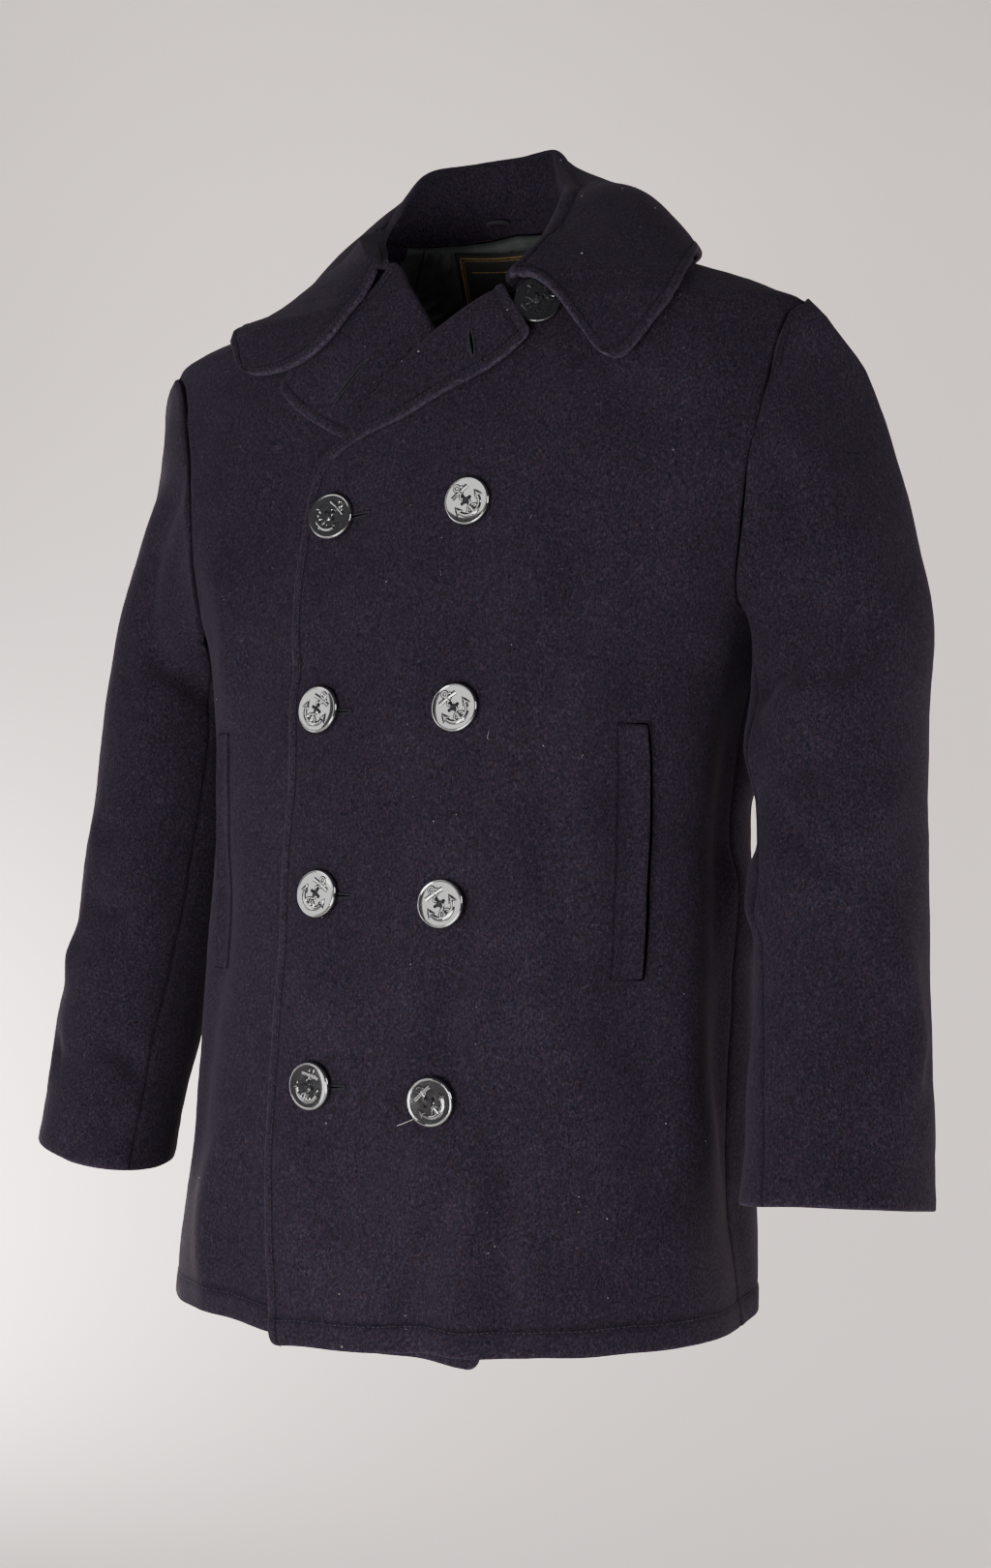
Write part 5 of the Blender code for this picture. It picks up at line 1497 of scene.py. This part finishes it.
def wool_material():
    """Heavy napped wool: short fibres lying mostly downwards over a felted, speckled ground."""
    wool = Finish(
        "wool", Roughness=0.95, Sheen_Weight=0.04, Sheen_Tint=(0.75, 0.65, 0.95, 1.0), Sheen_Roughness=0.5,
        Specular_IOR_Level=0.10,
    )
    links = [("Vector", wool.where)]
    lying = wool.add("ShaderNodeMapping", links, Scale=(1.0, 1.0, 0.5), Rotation=(0.12, 0.30, 0.0))
    fibre = wool.noise(FIBRE_NOISE, lying.outputs["Vector"])
    speck, patch, hue = (wool.noise(kind) for kind in (SPECK_NOISE, PATCH_NOISE, HUE_NOISE))
    # The edges' tone from the cloth: lighter worn nap with a painted highlight at the edges, painted shade in
    # seams and stitch grooves
    wear_and_painted_light = wool.add("ShaderNodeAttribute", attribute_name="wear_and_painted_light").outputs["Fac"]
    wear_and_painted_light_amount = wool.weighted((speck, WEAR_AND_PAINTED_LIGHT_TONE))
    mix = wool.weighted((fibre, 0.54), (speck, 0.36), (patch, 0.10), (wear_and_painted_light, wear_and_painted_light_amount))
    warm, cool = (wool.ramp(mix, *zip(WOOL_STOPS, tones)) for tones in (WARM_TONES, COOL_TONES))
    tint = wool.stretch(hue, From_Min=0.40, From_Max=0.60)
    blend = wool.add("ShaderNodeMix", data_type="RGBA")
    for place, source in ((0, tint), (6, warm), (7, cool)):
        wool.tree.links.new(source, blend.inputs[place])
    wool.feed("Base Color", blend.outputs[2])
    wool.bump(wool.weighted((fibre, 0.7), (speck, 0.8)), 0.6, 0.0009)
    return wool.material


def satin_material():
    satin = Finish(
        "quilted_satin", Roughness=0.52, Sheen_Weight=0.08, Sheen_Tint=(0.7, 0.85, 0.85, 1.0),
        Sheen_Roughness=0.4, Specular_IOR_Level=0.28,
    )
    shade = satin.ramp(satin.noise(SATIN_TONE), (0.3, SATIN_DARK), (0.7, SATIN_LIGHT))
    satin.feed("Base Color", shade)
    satin.bump(satin.noise(SATIN_GRAIN), 0.25, 0.0005)
    return satin.material


def thread_material(name, colour, roughness=0.75):
    thread = Finish(
        name, Roughness=roughness, Sheen_Weight=0.15, Sheen_Tint=(0.8, 0.8, 1.0, 1.0), Sheen_Roughness=0.4,
        Specular_IOR_Level=0.3,
    )
    dark = tuple(v * 0.6 for v in colour)
    light = tuple(min(v * 1.7, 1.0) for v in colour)
    thread.feed("Base Color", thread.ramp(thread.noise(THREAD_TONE), (0.35, dark), (0.65, light)))
    thread.bump(thread.noise(THREAD_GRAIN), 0.4, 0.0002)
    return thread.material


def plastic_material(name, coat, specular):
    """Moulded black plastic with fine scuffs under a glossy skin."""
    plastic = Finish(name, Specular_IOR_Level=specular, Coat_Weight=coat, Coat_Roughness=0.04, Coat_IOR=2.8)
    shade = plastic.ramp(plastic.noise(SCUFF_NOISE), (0.4, PLASTIC_DARK), (0.7, PLASTIC_LIGHT))
    plastic.feed("Base Color", shade)
    handled = plastic.noise(HANDLED_NOISE)
    rough = plastic.stretch(handled, From_Min=0.35, From_Max=0.75, To_Min=0.06, To_Max=0.20)
    plastic.feed("Roughness", rough)
    return plastic.material


WOOL = wool_material()
SATIN = satin_material()
SEWING = thread_material("sewing_thread", THREAD)
BLACK_THREAD = thread_material("button_thread", (0.006, 0.006, 0.008), 0.6)
GLOSS = plastic_material("button_gloss", 1.0, 0.60)
# A duller copy of the button gloss for the top button: painted shade for the shadow it lies in under the
# collar and lapel
SHADED_GLOSS = plastic_material("button_gloss_painted_shade", 0.22, 0.20)
# Dark matte finish for the strips at the foot of the anchor's ridges: painted shade that outlines them
ANCHOR_PAINTED_SHADE = thread_material("button_anchor_painted_shade", (0.0035, 0.0035, 0.0045), 0.8)
GOLD_THREAD = thread_material("gold_thread", GOLD, 0.45)
LINT_FIBRE = thread_material("lint_fibre", LINT, 0.9)
LABEL_WEAVE = thread_material("label_weave", (0.010, 0.009, 0.009), 0.7)
LOOP_CORD = thread_material("loop_cord", (0.010, 0.009, 0.012), 0.6)
SLIT = Finish("slit_shadow", Roughness=1.0, Specular_IOR_Level=0.0, Base_Color=(*SHADOW, 1.0)).material

# ---------------------------------------------------------------- the cloth pieces, made

BOTH_SIDES = (("left", 1), ("right", -1))
front_left = make_front("cloth_front_left", 1)
front_right = make_front("cloth_front_right", -1)
back = make_back()
lapel_left = make_lapel("cloth_lapel_left", 1)
lapel_right = make_lapel("cloth_lapel_right", -1)
collar = make_collar()
for side_name, side in BOTH_SIDES:
    make_sleeve(side_name, side)
for side_name, side in BOTH_SIDES:
    make_welt(side_name, side)
SEWING_PILE.make("topstitching", [SEWING], "navy_wool")
make_lining()
make_label()
make_loop()

# ---------------------------------------------------------------- buttons


def button_blank():
    """A button's turned body without its holes, in metres about its seat."""
    turns = np.linspace(0.0, 2 * math.pi, BUTTON_SEGMENTS, endpoint=False)
    body = bmesh.new()
    loops = []
    for radius, out in BUTTON_PROFILE:
        round_it = turns if radius else turns[:1]
        spots = [(radius * math.cos(turn), radius * math.sin(turn)) for turn in round_it]
        loops.append([body.verts.new((x / 1000, y / 1000, out / 1000)) for x, y in spots])
    for low, high in zip(loops, loops[1:]):
        for k in range(BUTTON_SEGMENTS):
            n = (k + 1) % BUTTON_SEGMENTS
            if len(low) == 1:
                body.faces.new((low[0], high[n], high[k]))
            elif len(high) == 1:
                body.faces.new((low[k], low[n], high[0]))
            else:
                body.faces.new((low[k], low[n], high[n], high[k]))
    return body


def hole_cutter():
    cutter = bmesh.new()
    low, high = ((HOLE_RADIUS + wider) / 1000 for wider in HOLE_TAPER)
    for x, y in HOLES:
        made = bmesh.ops.create_cone(
            cutter, cap_ends=True, segments=HOLE_SEGMENTS, radius1=low, radius2=high, depth=CUTTER_DEPTH
        )
        bmesh.ops.translate(cutter, vec=(x / 1000, y / 1000, CUTTER_MIDDLE), verts=made["verts"])
    return cutter


def button_mesh():
    """Points and faces of one moulded button with four holes, in metres about its seat."""
    items = []
    for name, shape in (("button_body", button_blank()), ("button_cutter", hole_cutter())):
        mesh = bpy.data.meshes.new(name)
        shape.to_mesh(mesh)
        shape.free()
        items.append(put(name, mesh))
    drill = items[0].modifiers.new("drill", "BOOLEAN")
    drill.operation = "DIFFERENCE"
    drill.solver = "EXACT"
    drill.object = items[1]
    bpy.context.view_layer.update()
    drilled = bpy.data.meshes.new_from_object(items[0].evaluated_get(bpy.context.evaluated_depsgraph_get()))
    for item in items:
        bpy.data.objects.remove(item)
    points = np.array([vertex.co[:] for vertex in drilled.vertices], float)
    return points, [tuple(face.vertices) for face in drilled.polygons]


def anchor(pile, place):
    """A fouled anchor raised on the face: ring, stock, shank, arms, flukes and a rope round them, with a dark
    matte line of painted shade along the foot of each part."""
    low, top = BUTTON_FACE + 0.02, BUTTON_FACE + ANCHOR_RISE
    strips = len(RIDGE_SECTION) - 1

    def ridge(points, wide, rise=top, smooth=True, closed=False):
        flat = np.array(points, float)
        if smooth:
            flat = through(flat, max(int(walked_along(flat)[-1] / RIDGE_PITCH), 6))
        wide = np.broadcast_to(np.asarray(wide, float), (len(points),))
        wide = np.interp(np.linspace(0, 1, len(flat)), np.linspace(0, 1, len(points)), wide)
        along = directions(flat, closed)
        side = np.stack([along[:, 1], -along[:, 0]], -1)
        rows = []
        for share, line, up in RIDGE_SECTION:
            reach = share * wide + math.copysign(line, share)
            level = np.full(len(flat), low + up * (rise - low))
            rows.append(np.column_stack([flat + side * reach[:, None], level]))
        count, size = len(flat), len(RIDGE_SECTION)
        faces, finish = [], []
        for k in range(count if closed else count - 1):
            here, there = k * size, (k + 1) % count * size
            faces += [(here + t, here + t + 1, there + t + 1, there + t) for t in range(strips)]
            # The outermost strips and the end caps take the second finish, painted shade
            finish += [1] + [0] * (strips - 2) + [1]
        if not closed:
            last = (count - 1) * size
            faces += [tuple(range(size - 1, -1, -1)), tuple(last + t for t in range(size))]
            finish += [1, 1]
        pile.add(place(np.stack(rows, 1).reshape(-1, 3) / 1000.0), faces, finish)

    def plate(outline):
        outline = np.array(outline, float)
        middle = outline.mean(axis=0)
        reach = np.linalg.norm(outline - middle, axis=1, keepdims=True)
        count = len(outline)
        rings = []
        for inset, up in PLATE_SECTION:
            spots = middle + (outline - middle) * np.maximum(1.0 - inset * FLUKE_SLOPE / reach, FLUKE_TOP)
            rings.append(np.column_stack([spots, np.full(count, low + up * (top - low))]))
        faces = []
        for here in range(0, 3 * count, count):
            for k in range(count):
                n = (k + 1) % count
                faces.append((here + k, here + n, here + count + n, here + count + k))
        faces.append(tuple(range(3 * count, 4 * count)))
        # The fluke's outer ring takes the second finish, painted shade
        pile.add(place(np.vstack(rings) / 1000.0), faces, [1] * count + [0] * (2 * count + 1))

    for points, wide in SHANK_AND_STOCK:
        ridge(points, wide)
    turns = np.linspace(0, 2 * math.pi, RING_POINTS, endpoint=False)
    ring = [(RING_RADIUS * math.cos(t), RING_PLACE - RING_RADIUS * math.sin(t)) for t in turns]
    ridge(ring, RING_HALF_WIDTH, smooth=False, closed=True)
    for side in (-1, 1):
        ridge([(side * x, y) for x, y in ARM], ARM_HALF_WIDTHS)
        plate([(side * x, y) for x, y in FLUKE][::-side])
    ridge(ROPE, ROPE_HALF_WIDTH, rise=BUTTON_FACE + ROPE_RISE)


BUTTON_POINTS, BUTTON_FACES = button_mesh()


def make_button(name, x, height, turn, lean_left, lean_up):
    """A button sewn on at a place, its anchor turned and its face tilted by these degrees."""
    share = FORM.share_at(x, height)
    foot = FORM.points(share, height, BUTTON_SEAT)
    normal = FORM.normals(share, height)
    tilt = math.radians(math.hypot(lean_left, lean_up))
    foot = foot + wander(foot[None])[0] + normal * (BUTTON_CLEAR + TILT_LIFT * BUTTON_RADIUS * math.sin(tilt))
    across = unit(np.cross(UP, normal))
    up = np.cross(normal, across)
    normal = unit(normal + across * math.tan(math.radians(lean_left)) + up * math.tan(math.radians(lean_up)))
    across = unit(np.cross(up, normal))
    up = np.cross(normal, across)
    cosine, sine = math.cos(math.radians(turn)), math.sin(math.radians(turn))
    axes = np.stack([across * cosine + up * sine, up * cosine - across * sine, normal])

    def place(points):
        return np.asarray(points, float) @ axes + foot

    pile = Pile()
    pile.add(place(BUTTON_POINTS), BUTTON_FACES)
    anchor(pile, place)
    # The top button's face is the duller copy of the gloss, painted shade; the second finish, on the anchor's
    # outlines, is painted shade too
    face = SHADED_GLOSS if name == "button_top" else GLOSS
    made = pile.make(f"detailed_{name}", [face, ANCHOR_PAINTED_SHADE], "black_button")
    made.data.set_sharp_from_angle(angle=SHARP_ANGLE)
    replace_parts(made, name)
    cord = Pile()
    for turn, off, rise in THREADS:
        ahead = np.array([1.0, 0.0] if turn == 0 else [0.0, 1.0])
        aside = np.array([0.0, off] if turn == 0 else [-off, 0.0])
        course = [*THREAD_ENDS, (THREAD_SHOULDER, rise - 0.15), (0.0, rise)]
        course += [(-reach, out) for reach, out in course[-2::-1]]
        path = [(*(ahead * reach + aside), out) for reach, out in course]
        cord.sweep(place(through(path, THREAD_POINTS) / 1000.0), normal, THREAD_RADIUS)
    for x, y in HOLES:
        cord.sweep(place([(x / 1000, y / 1000, out) for out in HOLE_PLUG]), axes[0], PLUG_RADIUS, sides=8)
    cord.make(f"thread_{name}", [BLACK_THREAD], "black_button")


for entry in BUTTONS:
    make_button(*entry)

# ---------------------------------------------------------------- buttonholes


def buttonhole(pile, slit, path, normals, mouth):
    """A worked buttonhole: thread wrapped over both lips of a slit, with a bar at each end."""
    across = unit(np.cross(normals, directions(path)))
    count = len(path)
    reach = across * (HOLE_LIP + mouth * np.sin(np.linspace(0.0, math.pi, count))[:, None] ** 0.7)
    lips = (path + reach, path - reach)
    ups = np.vstack([normals, normals[::-1]])
    pile.sweep(np.vstack([lips[0], lips[1][::-1]]) + ups * LIP_LIFT, ups, *LIP_SIZE, closed=True)
    for lip, way in zip(lips, (1.0, -1.0)):
        points, rises = resample(lip, normals, WRAP_PITCH)
        offs = unit(np.cross(rises, directions(points))) * way
        for point, off, rise in zip(points, offs, rises):
            wrap = [point + off * aside + rise * out for aside, out in WRAP_COURSE]
            pile.sweep(wrap, rise, WRAP_RADIUS, sides=4)
    dark = np.stack([path + reach * SLIT_SHARE, path - reach * SLIT_SHARE], 1) + normals[:, None] * SLIT_LIFT
    faces = [(2 * k, 2 * k + 1, 2 * k + 3, 2 * k + 2) for k in range(count - 1)]
    slit.add(dark.reshape(-1, 3), faces)


def across_piece(panel, start, end, count):
    """A line over a panel's outside between two places, given by x and height, with the way off the cloth."""
    ends = []
    for x, height in (start, end):
        far = np.hypot(panel.outer[..., 0] - x, panel.outer[..., 2] - height) + (panel.normal[..., 1] > 0.0)
        ends.append(np.unravel_index(np.argmin(far), far.shape))
    rows, columns = (np.linspace(low, high, count) for low, high in zip(*ends))
    return sample(panel.outer, rows, columns), unit(sample(panel.normal, rows, columns))


BUTTONHOLES = [
    # panel, start and end by x and height, opening
    (front_left, (x - 0.004, height), (x + 0.0265, height), 0.0006) for _, x, height, *_ in BUTTONS[:4]
]
BUTTONHOLES += [
    (lapel_left, (0.0478, -0.1030), (0.0500, -0.1190), 0.0010),
    (lapel_right, (-0.0570, -0.1370), (-0.0310, -0.1100), 0.0004),
]
holes, slits = Pile(), Pile()
for panel, start, end, mouth in BUTTONHOLES:
    line, ups = resample(*across_piece(panel, start, end, 30), HOLE_PITCH)
    buttonhole(holes, slits, line + ups * LIP_LIFT, ups, mouth)
holes.make("buttonhole_thread", [SEWING], "navy_wool")
slits.make("buttonhole_slits", [SLIT], "navy_wool")

# ---------------------------------------------------------------- lint and stray fibres

LOOSE_THREADS = (
    # places by x and height, thickness
    (((0.0400, -0.5890), (0.0300, -0.5940), (0.0190, -0.6020)), 0.00022),
    (((0.0708, -0.3557), (0.0714, -0.3590), (0.0708, -0.3625)), 0.00012),
)
LINT_SPOTS = (
    # panel, x, height, half size
    (lapel_left, -0.0186, -0.0985, 0.00050),
    (lapel_left, 0.0108, -0.1132, 0.00055),
    (lapel_left, 0.0257, -0.1185, 0.00060),
    (lapel_left, 0.0026, -0.1300, 0.00045),
    (front_left, -0.0171, -0.7390, 0.00060),
    (front_left, -0.0320, -0.6010, 0.00040),
    (front_left, 0.0180, -0.4260, 0.00050),
    (front_left, 0.1030, -0.3640, 0.00040),
    (collar, 0.1120, -0.0560, 0.00045),
)
SPECK_SHARE = 0.7
SPECK_SIZES = (0.00015, 0.0004)
FIBRE_LENGTHS = (0.0010, 0.0030)
FIBRE_RADII = (0.00004, 0.00007)
FIBRE_BEND = 0.9
FIBRE_LIFT = 0.0004
LONG_FIBRE = 2.2
LONG_SHARE = 0.08
THREAD_ARCH = 0.0018
LOOSE_LIFT = 0.0003
LINT_AMOUNTS = (
    (front_left, 60), (front_right, 22), (back, 60), (collar, 26), (lapel_left, 7), (lapel_right, 6),
)


def scatter_lint():
    rng = random.Random(7)
    fibres, specks = Pile(), Pile()
    for panel, amount in LINT_AMOUNTS:
        rows, columns = panel.outer.shape[:2]
        for _ in range(amount):
            r, c = rng.randrange(8, rows - 8), rng.randrange(18, columns - 18)
            point, up = panel.outer[r, c], panel.normal[r, c]
            side = unit(np.cross(up, [rng.uniform(-1, 1) for _ in range(3)]))
            if rng.random() < SPECK_SHARE:
                size = rng.uniform(*SPECK_SIZES)
                specks.sweep([point + side * size * k for k in range(3)], up, size * 0.8, sides=5)
                continue
            long = rng.uniform(*FIBRE_LENGTHS) * (LONG_FIBRE if rng.random() < LONG_SHARE else 1.0)
            bend = rng.uniform(-FIBRE_BEND, FIBRE_BEND)
            turn = np.cross(up, side)
            point = point + up * FIBRE_LIFT
            path = [point + (side * t + turn * bend * t * t) * long for t in np.linspace(0, 1, 6)]
            fibres.sweep(path, up, rng.uniform(*FIBRE_RADII), sides=3)
    for spots, thickness in LOOSE_THREADS:
        parts = [across_piece(front_left, first, second, 8) for first, second in zip(spots, spots[1:])]
        path, ups = (np.vstack(group) for group in zip(*parts))
        arch = np.sin(np.linspace(0.0, math.pi, len(path)))[:, None] * THREAD_ARCH + LOOSE_LIFT
        fibres.sweep(path + ups * arch, ups, thickness, sides=4)
    for panel, x, height, size in LINT_SPOTS:
        points, ups = across_piece(panel, (x, height), (x + 0.002, height + 0.001), 3)
        specks.sweep(points[:1] + ups[:1] * 0.0002 + (points - points[:1]) * size * 400, ups[0], size)
    fibres.make("stray_fibres", [LINT_FIBRE], "navy_wool")
    specks.make("lint_specks", [LINT_FIBRE], "navy_wool")


scatter_lint()

# ---------------------------------------------------------------- floor, light and camera

CAMERA_PLACE = (0.715, -1.290, -0.425)
CAMERA_TURN = math.radians(28.5)
FLOOR_BEND = 1.9
WARM_WHITE = (1.0, 0.985, 0.965)
SOFT_WHITE = (1.0, 0.985, 0.985)
ROSE = (1.0, 0.875, 0.83)
LAMPS = (
    # name, place, target, width and height, watts, colour
    ("key", (-0.66, -1.20, -0.10), (-0.02, -0.12, -0.13), (0.88, 0.68), 4.9, WARM_WHITE),
    ("middle", (-0.02, -1.30, -0.68), (-0.10, 0.0, -0.64), (0.30, 0.35), 13.0, WARM_WHITE),
    ("left", (-1.30, -1.00, -0.70), (-0.05, 0.0, -0.60), (0.5, 0.7), 5.5, WARM_WHITE),
    ("front", (0.40, -1.80, -0.95), (0.0, 0.0, -0.55), (0.8, 0.6), 18.0, SOFT_WHITE),
    ("low", (0.62, -1.15, -1.00), (0.08, 0.0, -0.45), (0.8, 0.4), 2.5, SOFT_WHITE),
    ("side", (2.0, -0.30, 0.15), (0.25, 0.0, -0.40), (1.0, 0.8), 20.0, SOFT_WHITE),
    ("back", (0.3, 1.3, 1.5), (0.0, 0.0, -0.3), (1.6, 0.9), 2.0, (1.0, 0.98, 0.97)),
    ("wash", (-1.2, 0.9, 1.5), (-0.9, 2.6, -0.9), (2.0, 1.0), 14.0, ROSE),
    ("low_wash", (-1.8, 0.8, -0.8), (-0.8, 2.2, -1.1), (1.6, 1.0), 96.0, ROSE),
    ("right_wash", (1.9, 0.9, -0.8), (0.7, 2.3, -1.1), (1.2, 1.0), 84.0, ROSE),
)


def make_floor():
    """A pale paper sweep: level under the coat, then bent up behind it."""
    paper = Finish("pale_paper", Roughness=0.9)
    shade = paper.ramp(paper.noise(PAPER_TONE), (0.3, (0.850, 0.812, 0.795)), (0.7, (0.868, 0.832, 0.815)))
    paper.feed("Base Color", shade)
    profile = [(-3.2, 0.0), (0.7, 0.0)]
    for turn in np.linspace(0.08, math.pi / 2, 20):
        profile.append((0.7 + FLOOR_BEND * math.sin(turn), FLOOR_BEND * (1.0 - math.cos(turn))))
    profile.append((2.6, 3.9))
    points = [(x, y, z - 1.10) for y, z in profile for x in (-4.5, 4.5)]
    mesh = bpy.data.meshes.new("floor")
    mesh.from_pydata(points, [], [(2 * k, 2 * k + 1, 2 * k + 3, 2 * k + 2) for k in range(len(profile) - 1)])
    mesh.materials.append(paper.material)
    mesh.shade_smooth()
    made = put("floor", mesh)
    made.rotation_euler = (0.0, 0.0, CAMERA_TURN)


def make_lamp(name, place, target, size, power, colour):
    data = bpy.data.lights.new(name, "AREA")
    data.shape = "RECTANGLE"
    data.size, data.size_y = size
    data.energy = power
    data.color = colour
    made = put(name, data)
    x, y, z = np.subtract(target, place)
    made.location = place
    made.rotation_euler = (math.atan2(math.hypot(x, y), -z), 0.0, math.atan2(-x, y))


def make_camera():
    data = bpy.data.cameras.new("camera")
    data.lens = 50.0
    data.sensor_width = 36.0
    data.shift_y = 60.0 / 1620.0
    made = put("camera", data)
    made.location = CAMERA_PLACE
    made.rotation_euler = (math.radians(90.0), 0.0, CAMERA_TURN)
    bpy.context.scene.camera = made


def make_world():
    world = bpy.data.worlds.new("studio")
    world.use_nodes = True
    background = world.node_tree.nodes["Background"]
    background.inputs["Color"].default_value = (1.0, 0.97, 0.96, 1.0)
    background.inputs["Strength"].default_value = 0.11
    bpy.context.scene.world = world


make_floor()
for lamp in LAMPS:
    make_lamp(*lamp)
make_world()
make_camera()
